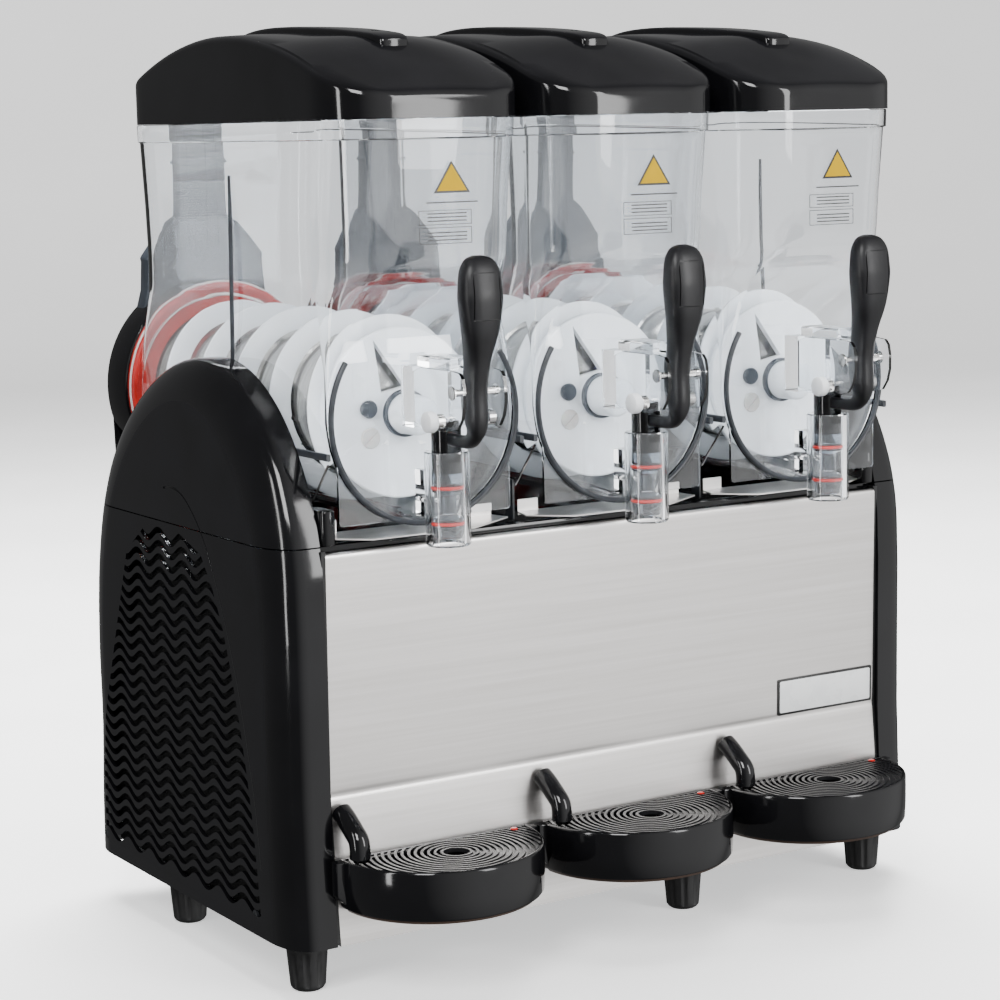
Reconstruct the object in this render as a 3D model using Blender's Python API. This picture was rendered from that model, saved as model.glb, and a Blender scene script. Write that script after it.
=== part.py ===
"""Three-bowl frozen drink dispenser, modelled as an assembly of separate pieces.

Metres, +Z up, the front of the machine faces -Y. The origin is on the floor
under the middle of the machine.
"""

import math

import bmesh
import bpy

# ---------------------------------------------------------------- driving sizes
BOWL_PITCH = 0.195
BOWL_CENTRES = (-BOWL_PITCH, 0.0, BOWL_PITCH)
BOWL_NAMES = ("left", "middle", "right")
GAP = 0.0003            # clearance between pieces that touch

REAR_Y = 0.260          # outer face of the rear cover
BODY_BOTTOM = 0.043
DECK_TOP = 0.372
PANEL_HALF = 0.2846     # half width of the front panel
PANEL_FRONT = -0.1470
FOLD_Y = -0.1430
FOLD_Z = 0.167
FOOT_OF_PANEL_Y = -0.1530
SHEET = 0.0012          # stainless sheet thickness

COVER_INNER = 0.2875    # side covers, distances from the middle plane
COVER_OUTER = 0.3270
COVER_WALL = 0.0035
COVER_SEAM = 0.3720

AXIS_Z = 0.472          # height of the evaporator and auger axis
BOWL_RADIUS = 0.0885
BOWL_WALL = 0.003
BOWL_TOP = 0.7105
BOWL_FRONT = -0.1560
BOWL_BACK = 0.2050
BOX_FRONT = -0.1900     # front face of the upper, box-shaped part of a bowl
BOX_BOTTOM = 0.598
RIM_FRONT = -0.1965

HOUSING_FRONT = 0.2185
HOUSING_BACK = 0.2577
HOUSING_RADIUS = 0.0970

DRUM_RADIUS = 0.058
DRUM_FRONT = -0.105
FLIGHT_RADIUS = 0.080
FLIGHT_INNER = 0.0612
FLIGHT_TURNS = 4.6
STEPS_PER_TURN = 12
FLIGHT_THICKNESS = 0.005

TAP_Y = -0.190
TAP_BOTTOM = 0.371
TAP_TUBE_TOP = 0.447
TAP_RADIUS = 0.0183
TAP_BORE = 0.0137
PIVOT = (-0.236, 0.498)  # tap handle's axis, as (y, z)
CHEEK_INNER = 0.0174     # tap cheeks on each side of the handle, from the bowl's middle
CHEEK_OUTER = 0.0204
APRON_HALF = 0.0805      # flat clear plate that hangs below a bowl's round front
APRON_BOTTOM = 0.389

TRAY_RADIUS = 0.090
TRAY_CENTRE_Y = -0.157
TRAY_BACK = -0.1535
TRAY_TOP = 0.117
TRAY_BOTTOM = 0.072
TRAY_WALL = 0.0025

FOOT_X = 0.296
FOOT_Y = 0.114


# ---------------------------------------------------------------- small helpers
def clear_scene():
    for item in list(bpy.data.objects):
        bpy.data.objects.remove(item, do_unlink=True)


def srgb_to_linear(code):
    values = []
    for start in (0, 2, 4):
        value = int(code[start:start + 2], 16) / 255
        values.append(value / 12.92 if value <= 0.04045 else ((value + 0.055) / 1.055) ** 2.4)
    return (*values, 1.0)


def material(name, colour, roughness, metallic=0.0, transmission=0.0):
    found = bpy.data.materials.get(name)
    if found:
        return found
    made = bpy.data.materials.new(name)
    made.use_nodes = True
    made.diffuse_color = srgb_to_linear(colour)
    shader = made.node_tree.nodes["Principled BSDF"]
    shader.inputs["Base Color"].default_value = srgb_to_linear(colour)
    shader.inputs["Roughness"].default_value = roughness
    shader.inputs["Metallic"].default_value = metallic
    shader.inputs["Transmission Weight"].default_value = transmission
    return made


def gloss_black():
    return material("gloss_black_abs", "0B0B0C", 0.15)


def matt_black():
    return material("matt_black_plastic", "1A1A1C", 0.55)


def stainless():
    return material("brushed_stainless", "C9C6C2", 0.30, metallic=1.0)


def clear_plastic():
    return material("clear_polycarbonate", "F2F5F6", 0.05, transmission=1.0)


def white_plastic():
    return material("white_acetal", "F1F1EF", 0.40)


def red_rubber():
    return material("red_silicone", "B3262A", 0.50)


def dark_steel():
    return material("painted_steel", "26282B", 0.45)


def aluminium():
    return material("aluminium_fins", "B9BDC0", 0.40, metallic=1.0)


def galvanised():
    return material("galvanised_sheet", "8E9296", 0.45, metallic=1.0)


def red_lens():
    return material("red_switch", "C8201C", 0.30)


def add_object(name, bm, finish, smooth=True, cutter=False):
    """Turn a bmesh into an object, with its faces pointing outwards."""
    bmesh.ops.remove_doubles(bm, verts=bm.verts, dist=0.000005)
    bmesh.ops.recalc_face_normals(bm, faces=bm.faces)
    mesh = bpy.data.meshes.new(name)
    bm.to_mesh(mesh)
    bm.free()
    made = bpy.data.objects.new(name, mesh)
    bpy.context.scene.collection.objects.link(made)
    if cutter:
        made.hide_render = True
        made.display_type = "WIRE"
        return made
    mesh.materials.append(finish)
    if smooth:
        mesh.shade_smooth()
        mesh.set_sharp_from_angle(angle=math.radians(35))
    return made


def combine(target, tool, operation):
    step = target.modifiers.new(operation.lower(), "BOOLEAN")
    step.operation = operation
    step.solver = "EXACT"
    step.object = tool


def cut(target, bm, name):
    combine(target, add_object(name, bm, None, cutter=True), "DIFFERENCE")


def join(target, bm, name):
    combine(target, add_object(name, bm, None, cutter=True), "UNION")


def loft(bm, rings):
    """Skin a list of equally long rings of points and cap both ends."""
    loops = [[bm.verts.new(point) for point in ring] for ring in rings]
    count = len(loops[0])
    for lower, upper in zip(loops, loops[1:]):
        for i in range(count):
            j = (i + 1) % count
            bm.faces.new((lower[i], lower[j], upper[j], upper[i]))
    bm.faces.new(loops[0])
    bm.faces.new(loops[-1])
    return loops


def new_loft(rings):
    bm = bmesh.new()
    loft(bm, rings)
    return bm


def box(low, high):
    corners = ((low[0], low[1]), (high[0], low[1]), (high[0], high[1]), (low[0], high[1]))
    return new_loft([[(x, y, z) for x, y in corners] for z in (low[2], high[2])])


def add_box(bm, low, high):
    corners = ((low[0], low[1]), (high[0], low[1]), (high[0], high[1]), (low[0], high[1]))
    loft(bm, [[(x, y, z) for x, y in corners] for z in (low[2], high[2])])


def arc(centre, radius, start, end, steps):
    """Points on an arc, angles in degrees, both ends included."""
    points = []
    for i in range(steps + 1):
        angle = math.radians(start + (end - start) * i / steps)
        points.append((centre[0] + radius * math.cos(angle), centre[1] + radius * math.sin(angle)))
    return points


def circle(centre, radius, steps):
    return arc(centre, radius, 0, 360 - 360 / steps, steps - 1)


def rounded_rectangle(x_low, x_high, y_low, y_high, front_radius, back_radius, steps=3):
    points = arc((x_high - front_radius, y_low + front_radius), front_radius, -90, 0, steps)
    points += arc((x_high - back_radius, y_high - back_radius), back_radius, 0, 90, steps)
    points += arc((x_low + back_radius, y_high - back_radius), back_radius, 90, 180, steps)
    points += arc((x_low + front_radius, y_low + front_radius), front_radius, 180, 270, steps)
    return points


def turned(profile, axis, centre, steps=32):
    """Solid of revolution; profile is (radius, place along the axis), from end to end."""
    rings = []
    for radius, along in profile:
        ring = circle((0, 0), radius, steps)
        if axis == "Z":
            rings.append([(centre[0] + u, centre[1] + v, along) for u, v in ring])
        elif axis == "Y":
            rings.append([(centre[0] + u, along, centre[1] + v) for u, v in ring])
        else:
            rings.append([(along, centre[0] + u, centre[1] + v) for u, v in ring])
    return new_loft(rings)


def ring_solid(outer, inner, y_low, y_high, centre, steps=32):
    """Washer-shaped solid about an axis along Y."""
    bm = bmesh.new()
    loops = []
    for radius, y in ((outer, y_low), (outer, y_high), (inner, y_high), (inner, y_low)):
        ring = circle((0, 0), radius, steps)
        loops.append([bm.verts.new((centre[0] + u, y, centre[1] + v)) for u, v in ring])
    for a in range(4):
        first, second = loops[a], loops[(a + 1) % 4]
        for i in range(steps):
            j = (i + 1) % steps
            bm.faces.new((first[i], first[j], second[j], second[i]))
    return bm


def prism_x(outline, x_low, x_high):
    return new_loft([[(x, y, z) for y, z in outline] for x in (x_low, x_high)])


def prism_y(outline, y_low, y_high):
    return new_loft([[(x, y, z) for x, z in outline] for y in (y_low, y_high)])


def prism_z(outline, z_low, z_high):
    return new_loft([[(x, y, z) for x, y in outline] for z in (z_low, z_high)])


def smooth_path(points, steps):
    """Catmull-Rom curve through the points, open at both ends."""
    padded = [points[0], *points, points[-1]]
    result = []
    for p0, p1, p2, p3 in zip(padded, padded[1:], padded[2:], padded[3:]):
        for i in range(steps):
            t = i / steps
            result.append(tuple(
                0.5 * (2 * b + (c - a) * t + (2 * a - 5 * b + 4 * c - d) * t * t
                       + (3 * b - a - 3 * c + d) * t ** 3)
                for a, b, c, d in zip(p0, p1, p2, p3)))
    result.append(tuple(points[-1]))
    return result


# ---------------------------------------------------------------- body and covers
def make_base_plate():
    half = COVER_OUTER - 0.013
    add_object("base_plate", box((-half, -0.132, BODY_BOTTOM + 0.0005),
                                 (half, 0.236, BODY_BOTTOM + 0.0035)), galvanised())


def make_frame(side, sign):
    """Side wall of the chassis, with a window behind the cover's vents."""
    near, far = sorted((sign * 0.2820, sign * 0.2850))
    wall = add_object(f"{side}_frame", box((near, -0.1350, BODY_BOTTOM + 0.0040),
                                           (far, 0.2380, DECK_TOP - 0.0103)), galvanised())
    window = box((near - 0.01, -0.06, 0.09), (far + 0.01, 0.20, 0.32))
    cut(wall, window, f"{side}_frame_window")


def make_deck():
    low, high = DECK_TOP - 0.010, DECK_TOP
    plate = add_object("deck", box((-0.2852, -0.1385, low), (0.2852, 0.2400, high)), gloss_black())
    for name, centre in zip(BOWL_NAMES, BOWL_CENTRES):
        gutter = box((centre - 0.060, -0.120, high - 0.004), (centre + 0.060, 0.190, high + 0.01))
        cut(plate, gutter, f"deck_gutter_{name}")


def make_front_panel():
    """One folded sheet: rolled top hem, shallow fold, returned bottom lip."""
    hem_radius = 0.0034
    hem = (PANEL_FRONT + hem_radius, 0.3636)
    outer = [(FOOT_OF_PANEL_Y + 0.012, BODY_BOTTOM), (FOOT_OF_PANEL_Y, BODY_BOTTOM),
             (FOLD_Y, FOLD_Z), (PANEL_FRONT, hem[1] - 0.002)]
    roll = arc(hem, hem_radius, 180, -30, 7)
    inner = [(PANEL_FRONT + SHEET, hem[1] - 0.005), (FOLD_Y + SHEET, FOLD_Z),
             (FOOT_OF_PANEL_Y + SHEET, BODY_BOTTOM + SHEET),
             (FOOT_OF_PANEL_Y + 0.012, BODY_BOTTOM + SHEET)]
    add_object("front_panel", prism_x(outer + roll + inner, -PANEL_HALF, PANEL_HALF), stainless())


def make_rear_panel():
    panel = add_object("rear_panel", box((-0.2852, 0.2405, 0.050), (0.2852, 0.2420, 0.374)),
                       galvanised())
    for row in range(8):
        z = 0.110 + 0.024 * row
        cut(panel, box((-0.20, 0.23, z), (0.06, 0.25, z + 0.010)), f"rear_louvre_{row}")
    cut(panel, box((0.1395, 0.23, 0.2295), (0.1605, 0.25, 0.2595)), "switch_hole")
    cut(panel, turned([(0.0105, 0.23), (0.0105, 0.25)], "Y", (0.150, 0.100), 16), "inlet_hole")


def cover_outline():
    """Side view of a side cover as (y, z): an upright arch with a slight waist at the back."""
    arch = [(-0.1490, 0.300), (-0.1470, 0.372), (-0.1200, 0.437), (-0.0750, 0.487), (-0.0150, 0.515),
            (0.0520, 0.515), (0.1150, 0.492), (0.1720, 0.452), (0.2150, 0.400), (0.2400, 0.330),
            (0.2490, 0.250), (0.2470, 0.170), (0.2550, 0.100), (0.2570, BODY_BOTTOM)]
    front = [(-0.1530, BODY_BOTTOM), (-0.1480, 0.167)]
    return front + smooth_path(arch, 2)


def cover_rings(sign, inset):
    """Rings of the cover's skin, from the open inner edge to the flat outer face."""
    outline = cover_outline()
    shoulder = ((0.0, 0.0), (0.016, 0.0), (0.027, 0.006), (0.035, 0.018), (0.0395, 0.040))
    rings = []
    for depth, shrink in shoulder:
        ring = []
        for y, z in outline:
            factor_y = 1 - (shrink + inset) / 0.200
            factor_z = 1 - (shrink + inset) / 0.460
            ring.append((sign * (COVER_INNER + min(depth, 0.0395 - inset)),
                         0.050 + (y - 0.050) * factor_y,
                         BODY_BOTTOM + (z - BODY_BOTTOM) * factor_z))
        rings.append(ring)
    return rings


def cover_shell(name, sign, z_low, z_high):
    """Half of the cover: the arch skin, cut off at two heights, with an open inner side."""
    shell = add_object(name, new_loft(cover_rings(sign, 0.0)), gloss_black())
    hollow = cover_rings(sign, COVER_WALL)
    mouth = [(point[0] - sign * 0.01, point[1], point[2]) for point in hollow[0]]
    lowered = [[(x, y, z - 0.0001 if z < BODY_BOTTOM + 0.001 else z) for x, y, z in ring]
               for ring in [mouth, *hollow]]
    cut(shell, new_loft(lowered), f"{name}_hollow")
    reach = 0.4
    if z_low > BODY_BOTTOM:
        cut(shell, box((-reach, -reach, 0.0), (reach, reach, z_low)), f"{name}_below")
    if z_high < 0.5:
        cut(shell, box((-reach, -reach, z_high), (reach, reach, 0.8)), f"{name}_above")
    return shell


def make_side_covers(side, sign):
    cover_shell(f"{side}_upper_cover", sign, COVER_SEAM + GAP, 1.0)
    lower = cover_shell(f"{side}_vent_cover", sign, BODY_BOTTOM, COVER_SEAM)
    bm = bmesh.new()
    for row in range(11):
        z = 0.070 + 0.0270 * row
        low, high = sorted((sign * (COVER_OUTER - 0.008), sign * (COVER_OUTER + 0.01)))
        front = -0.070 + 0.0076 * row
        add_box(bm, (low, front, z), (high, 0.190 - 0.0046 * row, z + 0.008))
    cut(lower, bm, f"{side}_vents")


def make_foot(name, x, y):
    profile = [(0.0150, 0.0), (0.0162, 0.0025), (0.0168, 0.010), (0.0180, 0.034),
               (0.0180, BODY_BOTTOM - 0.0003)]
    add_object(name, turned(profile, "Z", (x, y), 20), matt_black())


def make_feet():
    for side, sign in (("left", -1), ("right", 1)):
        make_foot(f"{side}_front_foot", sign * FOOT_X, -FOOT_Y)
        make_foot(f"{side}_rear_foot", sign * FOOT_X, FOOT_Y)
    make_foot("middle_front_foot", 0.087, -FOOT_Y)
    make_foot("middle_rear_foot", 0.087, FOOT_Y)


# ---------------------------------------------------------------- cooling unit
def make_cooling_unit():
    base = BODY_BOTTOM + 0.0038
    can = [(0.058, base), (0.062, base + 0.010), (0.062, base + 0.120), (0.050, base + 0.150),
           (0.022, base + 0.165)]
    add_object("compressor", turned(can, "Z", (0.17, 0.10), 24), dark_steel())
    condenser = add_object("condenser", box((-0.2750, -0.040, base), (-0.2350, 0.180, 0.300)),
                           aluminium())
    shroud = turned([(0.088, -0.2300), (0.088, -0.2400)], "X", (0.070, 0.170), 24)
    cut(condenser, shroud, "shroud_recess")
    motor = turned([(0.030, -0.180), (0.030, -0.140)], "X", (0.070, 0.170), 20)
    motor_object = add_object("fan_motor", motor, dark_steel())
    join(motor_object, box((-0.165, 0.060, base), (-0.150, 0.080, 0.150)), "fan_motor_post")
    make_fan((0.070, 0.170))


def make_fan(centre):
    fan = add_object("fan", turned([(0.018, -0.200), (0.018, -0.1815)], "X", centre, 18),
                     matt_black())
    blades = 5
    for index in range(blades):
        angle = math.radians(90 + index * 360 / blades)
        along = (math.cos(angle), math.sin(angle))
        across = (-along[1], along[0])
        ring_low, ring_high = [], []
        for reach, half, skew in ((0.012, 0.008, 0.004), (0.078, 0.020, 0.006)):
            for side in (-1, 1):
                y = centre[0] + along[0] * reach + across[0] * half * side
                z = centre[1] + along[1] * reach + across[1] * half * side
                x = -0.191 + skew * side
                ring_low.append((x - 0.001, y, z))
                ring_high.append((x + 0.001, y, z))
        order = (0, 1, 3, 2)
        blade = new_loft([[ring_low[i] for i in order], [ring_high[i] for i in order]])
        join(fan, blade, f"fan_blade_{index}")


def make_rear_fittings():
    add_object("main_switch", prism_x(
        [(0.2400, 0.2310), (0.2425, 0.2305), (0.2460, 0.2310), (0.2445, 0.2445),
         (0.2430, 0.2580), (0.2425, 0.2585), (0.2400, 0.2580)], 0.1402, 0.1598), red_lens())
    gland = [(0.0100, 0.2340), (0.0100, 0.2424), (0.0140, 0.2424), (0.0140, 0.2455),
             (0.0090, 0.2480), (0.0070, 0.2560)]
    add_object("cord_inlet", turned(gland, "Y", (0.150, 0.100), 16), matt_black())


def make_rear_cover():
    """Common cap over the three gearmotor housings, with a scalloped top."""
    outline = [(-0.2850, 0.3760), (0.2850, 0.3760)]
    for centre in reversed(BOWL_CENTRES):
        outline += arc((centre, AXIS_Z), HOUSING_RADIUS - 0.0020, 12, 168, 8)
    add_object("rear_cover", prism_y(outline, HOUSING_BACK + GAP, REAR_Y), matt_black())


# ---------------------------------------------------------------- one bowl station
def bowl_rings(centre, inset, top):
    """Plan outlines of a bowl from its rounded bottom to its rim, moved in by inset."""
    radius = BOWL_RADIUS - inset
    levels = []
    for angle in (80, 60, 40, 20):
        turn = math.radians(angle)
        levels.append((AXIS_Z - radius * math.sin(turn), radius * math.cos(turn), BOWL_FRONT, 0.004))
    levels.append((AXIS_Z, radius, BOWL_FRONT, 0.006))
    levels.append((0.515, radius - 0.0020, BOWL_FRONT, 0.010))
    levels.append((0.560, radius - 0.0050, BOWL_FRONT, 0.018))
    levels.append((BOX_BOTTOM, radius - 0.0055, BOX_FRONT, 0.028))
    if inset == 0:
        levels.append((0.6950, radius - 0.0020, RIM_FRONT + 0.0015, 0.028))
        levels.append((0.6960, radius, RIM_FRONT, 0.028))
    levels.append((top, radius + (0.0004 if inset == 0 else -0.0015), RIM_FRONT, 0.028))
    rings = []
    for z, half, front, corner in levels:
        corner = max(min(corner, half * 0.9) - inset, 0.002)
        outline = rounded_rectangle(centre - half, centre + half, front + inset, BOWL_BACK - inset,
                                    corner, corner, 2)
        rings.append([(x, y, z) for x, y in outline])
    return rings


def make_bowl(name, centre):
    """Clear bowl: rounded trough below, box above, open at the top and round open at the back."""
    bowl = add_object(f"{name}_bowl", new_loft(bowl_rings(centre, 0.0, BOWL_TOP)), clear_plastic())
    boss = bmesh.new()
    add_box(boss, (centre - CHEEK_OUTER, -0.176, 0.462), (centre + CHEEK_OUTER, BOWL_FRONT + 0.001, 0.516))
    join(bowl, boss, f"{name}_tap_boss")
    for index, sign in enumerate((-1, 1)):
        near, far = sorted((centre + sign * CHEEK_INNER, centre + sign * CHEEK_OUTER))
        cheek = [(-0.170, 0.466), (-0.170, 0.5161), (-0.244, 0.5161), (-0.252, 0.508),
                 (-0.252, 0.482), (-0.240, 0.466)]
        join(bowl, prism_x(cheek, near, far), f"{name}_cheek_{index}")
    apron = prism_y([(centre - APRON_HALF, APRON_BOTTOM), (centre + APRON_HALF, APRON_BOTTOM),
                     (centre + APRON_HALF, AXIS_Z - 0.010), (centre - APRON_HALF, AXIS_Z - 0.010)],
                    BOWL_FRONT, BOWL_FRONT + BOWL_WALL - 0.0002)
    join(bowl, apron, f"{name}_apron")
    tube = turned([(TAP_RADIUS, TAP_BOTTOM), (TAP_RADIUS, TAP_TUBE_TOP)], "Z", (centre, TAP_Y), 16)
    join(bowl, tube, f"{name}_tap_tube")
    neck = box((centre - 0.010, TAP_Y + 0.010, 0.392), (centre + 0.010, BOWL_FRONT + 0.0015, 0.430))
    join(bowl, neck, f"{name}_tap_neck")
    cut(bowl, new_loft(bowl_rings(centre, BOWL_WALL, BOWL_TOP + 0.01)), f"{name}_bowl_inside")
    opening = turned([(BOWL_RADIUS - BOWL_WALL, 0.195), (BOWL_RADIUS - BOWL_WALL, 0.215)], "Y",
                     (centre, AXIS_Z), 32)
    cut(bowl, opening, f"{name}_bowl_opening")
    bore = turned([(TAP_BORE, TAP_BOTTOM - 0.01), (TAP_BORE, TAP_TUBE_TOP + 0.01)], "Z",
                  (centre, TAP_Y), 16)
    cut(bowl, bore, f"{name}_tap_bore")
    port = turned([(0.0070, TAP_Y), (0.0070, BOWL_FRONT + 0.008)], "Y", (centre, 0.410), 12)
    cut(bowl, port, f"{name}_tap_port")
    pin = turned([(0.0036, centre - 0.03), (0.0036, centre + 0.03)], "X", PIVOT, 12)
    cut(bowl, pin, f"{name}_pin_holes")


def lid_height(y):
    """Top of a lid along its length: one long arc, highest a little behind the middle."""
    return 0.782 - (y - 0.020) ** 2 / 0.88


def lid_ring(centre, y, inset, bottom):
    """Cross-section of a lid at one place along its length."""
    front, back, corner = -0.1975, 0.2060, 0.029
    half = 0.0900 - inset
    edge = min(y - front, back - y)
    if edge < corner:
        half -= corner - math.sqrt(max(corner ** 2 - (corner - edge) ** 2, 0.0))
    top = lid_height(y) - inset
    round_radius = 0.014
    points = [(centre - half, y, bottom), (centre + half, y, bottom)]
    for x, z in arc((centre + half - round_radius, top - round_radius), round_radius, 0, 90, 3):
        points.append((x, y, z))
    for x, z in arc((centre - half + round_radius, top - round_radius), round_radius, 90, 180, 3):
        points.append((x, y, z))
    return points


def make_lid(name, centre):
    bottom = BOWL_TOP + GAP
    places = (-0.1970, -0.1920, -0.1830, -0.1685, -0.115, -0.050, 0.020, 0.090, 0.145,
              0.1770, 0.1920, 0.2005, 0.2055)
    lid = add_object(f"{name}_lid", new_loft([lid_ring(centre, y, 0.0, bottom) for y in places]),
                     gloss_black())
    ridge = []
    for y, half, top in ((-0.127, 0.010, 0.774), (-0.118, 0.015, 0.782), (-0.05, 0.020, 0.788),
                         (0.03, 0.025, 0.791), (0.09, 0.026, 0.788), (0.13, 0.018, 0.7690)):
        ridge.append([(centre - half, y, 0.760), (centre + half, y, 0.760),
                      (centre + half, y, top - 0.004), (centre + half - 0.005, y, top),
                      (centre - half + 0.005, y, top), (centre - half, y, top - 0.004)])
    join(lid, new_loft(ridge), f"{name}_lid_ridge")
    inside = []
    for y in (-0.1935, -0.1880, -0.1685, -0.115, -0.050, 0.020, 0.090, 0.145, 0.1770, 0.1965,
              0.2020):
        inside.append(lid_ring(centre, y, 0.003, bottom - 0.01))
    cut(lid, new_loft(inside), f"{name}_lid_inside")


def make_evaporator(name, centre):
    profile = [(DRUM_RADIUS - 0.006, DRUM_FRONT), (DRUM_RADIUS, DRUM_FRONT + 0.006),
               (DRUM_RADIUS, BOWL_BACK + GAP), (0.0680, BOWL_BACK + GAP),
               (0.0680, HOUSING_FRONT - GAP)]
    drum = add_object(f"{name}_evaporator", turned(profile, "Y", (centre, AXIS_Z), 24), stainless())
    bore = turned([(0.0100, DRUM_FRONT - 0.01), (0.0100, HOUSING_FRONT + 0.01)], "Y",
                  (centre, AXIS_Z), 12)
    cut(drum, bore, f"{name}_evaporator_bore")


def make_auger(name, centre):
    """Helical blade round the drum, carried by a front disc on the drive shaft."""
    steps = int(FLIGHT_TURNS * STEPS_PER_TURN)
    start, end = 0.196, DRUM_FRONT - 0.0100
    rings = []
    for i in range(steps + 1):
        angle = 2 * math.pi * i / STEPS_PER_TURN
        y = start + (end - start) * i / steps
        along = (math.cos(angle), math.sin(angle))
        corners = ((FLIGHT_INNER, -0.5), (FLIGHT_RADIUS, -0.5), (FLIGHT_RADIUS, 0.5),
                   (FLIGHT_INNER, 0.5))
        rings.append([(centre + radius * along[0], y + side * FLIGHT_THICKNESS,
                       AXIS_Z + radius * along[1]) for radius, side in corners])
    auger = add_object(f"{name}_auger", new_loft(rings), white_plastic())
    shaft = [(0.0085, 0.2250), (0.0085, -0.1115), (0.0785, -0.1115), (0.0785, -0.1175),
             (0.0190, -0.1175), (0.0190, -0.1490)]
    join(auger, turned(shaft, "Y", (centre, AXIS_Z), 20), f"{name}_auger_shaft")


def make_rear_seal(name, centre):
    add_object(f"{name}_rear_seal",
               ring_solid(0.0945, 0.0686, BOWL_BACK + GAP, HOUSING_FRONT - GAP, (centre, AXIS_Z), 28),
               red_rubber())


def make_housing(name, centre):
    """Cup behind the bowl for the gearmotor, with the cable column that rises to the lid."""
    housing = add_object(f"{name}_housing", turned(
        [(HOUSING_RADIUS, HOUSING_FRONT), (HOUSING_RADIUS, HOUSING_BACK)], "Y",
        (centre, AXIS_Z), 28), matt_black())
    right = [(0.069, 0.530), (0.060, 0.560), (0.050, 0.588), (0.043, 0.604), (0.032, 0.620),
             (0.0235, 0.630), (0.0230, 0.708)]
    outline = [(centre + x, z) for x, z in right] + [(centre - x, z) for x, z in reversed(right)]
    join(housing, prism_y(outline, 0.2400, HOUSING_BACK - 0.0002), f"{name}_column")
    cup = turned([(HOUSING_RADIUS - 0.004, HOUSING_FRONT + 0.004),
                  (HOUSING_RADIUS - 0.004, HOUSING_BACK + 0.01)], "Y", (centre, AXIS_Z), 28)
    cut(housing, cup, f"{name}_housing_cup")
    hole = turned([(0.0120, 0.20), (0.0120, 0.24)], "Y", (centre, AXIS_Z), 16)
    cut(housing, hole, f"{name}_shaft_hole")


def make_gearmotor(name, centre):
    profile = [(0.0120, HOUSING_FRONT + 0.0075), (0.0550, HOUSING_FRONT + 0.0075),
               (0.0550, 0.2440), (0.0330, 0.2440), (0.0330, 0.2560)]
    add_object(f"{name}_gearmotor", turned(profile, "Y", (centre, AXIS_Z), 24), dark_steel())


def make_piston(name, centre):
    """Tap piston: two sealing rings, and a slotted cap that takes the handle's toe."""
    profile = [(0.0110, 0.3765), (0.0130, 0.3880), (0.0130, 0.3910), (0.0122, 0.3920),
               (0.0122, 0.4720)]
    piston = add_object(f"{name}_piston", turned(profile, "Z", (centre, TAP_Y), 16), matt_black())
    slot = box((centre - 0.0056, TAP_Y - 0.02, 0.4390), (centre + 0.0056, TAP_Y + 0.02, 0.4668))
    cut(piston, slot, f"{name}_piston_slot")


def make_handle(name, centre):
    """Tap lever: broad grip in front, pivot pin through the neck, toe that lifts the piston."""
    pivot_y, pivot_z = PIVOT
    stations = ((-0.2440, 0.6040, 0.0060, 0.0045, 0), (-0.2460, 0.6000, 0.0130, 0.0080, 0),
                (-0.2470, 0.5900, 0.0170, 0.0110, 0), (-0.2475, 0.5680, 0.0180, 0.01295, 0),
                (-0.2450, 0.5450, 0.0140, 0.0120, 0), (-0.2400, 0.5220, 0.0090, 0.0110, 0),
                (pivot_y, pivot_z, 0.0085, 0.0105, 0), (-0.2370, 0.4740, 0.0080, 0.0100, 10),
                (-0.2330, 0.4640, 0.0043, 0.0085, 45), (-0.2240, 0.4575, 0.0043, 0.0055, 80),
                (-0.1965, 0.4570, 0.0043, 0.0048, 90))
    rings = []
    for y, z, half_width, half_depth, tilt in stations:
        turn = math.radians(tilt)
        ring = []
        for u, v in circle((0, 0), 1.0, 10):
            x = centre + half_width * math.copysign(abs(u) ** 0.7, u)
            depth = half_depth * math.copysign(abs(v) ** 0.7, v)
            ring.append((x, y + depth * math.cos(turn), z + depth * math.sin(turn)))
        rings.append(ring)
    handle = add_object(f"{name}_handle", new_loft(rings), matt_black())
    pin = [(0.0030, centre - CHEEK_OUTER - 0.0015), (0.0030, centre + CHEEK_OUTER + 0.0015)]
    join(handle, turned(pin, "X", PIVOT, 10), f"{name}_pivot_pin")


def tray_outline(centre, inset):
    """D shape: straight back edge, round front."""
    radius = TRAY_RADIUS - inset
    points = [(centre + radius, TRAY_BACK - inset)]
    points += [(x, y) for x, y in reversed(arc((centre, TRAY_CENTRE_Y), radius, 180, 360, 18))]
    points += [(centre - radius, TRAY_BACK - inset)]
    return points


def make_tray(name, centre):
    rings = []
    for z, inset in ((TRAY_BOTTOM, 0.004), (TRAY_BOTTOM + 0.003, 0.0), (TRAY_TOP, 0.0)):
        rings.append([(x, y, z) for x, y in tray_outline(centre, inset)])
    tray = add_object(f"{name}_drip_tray", new_loft(rings), gloss_black())
    lug = box((centre - 0.0965, TRAY_BACK - 0.010, TRAY_BOTTOM + 0.004),
              (centre + 0.0965, TRAY_BACK + 0.0004, TRAY_TOP - 0.0004))
    join(tray, lug, f"{name}_tray_flange")
    inside = prism_z(tray_outline(centre, TRAY_WALL), TRAY_BOTTOM + 0.003, TRAY_TOP + 0.01)
    cut(tray, inside, f"{name}_tray_inside")


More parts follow.
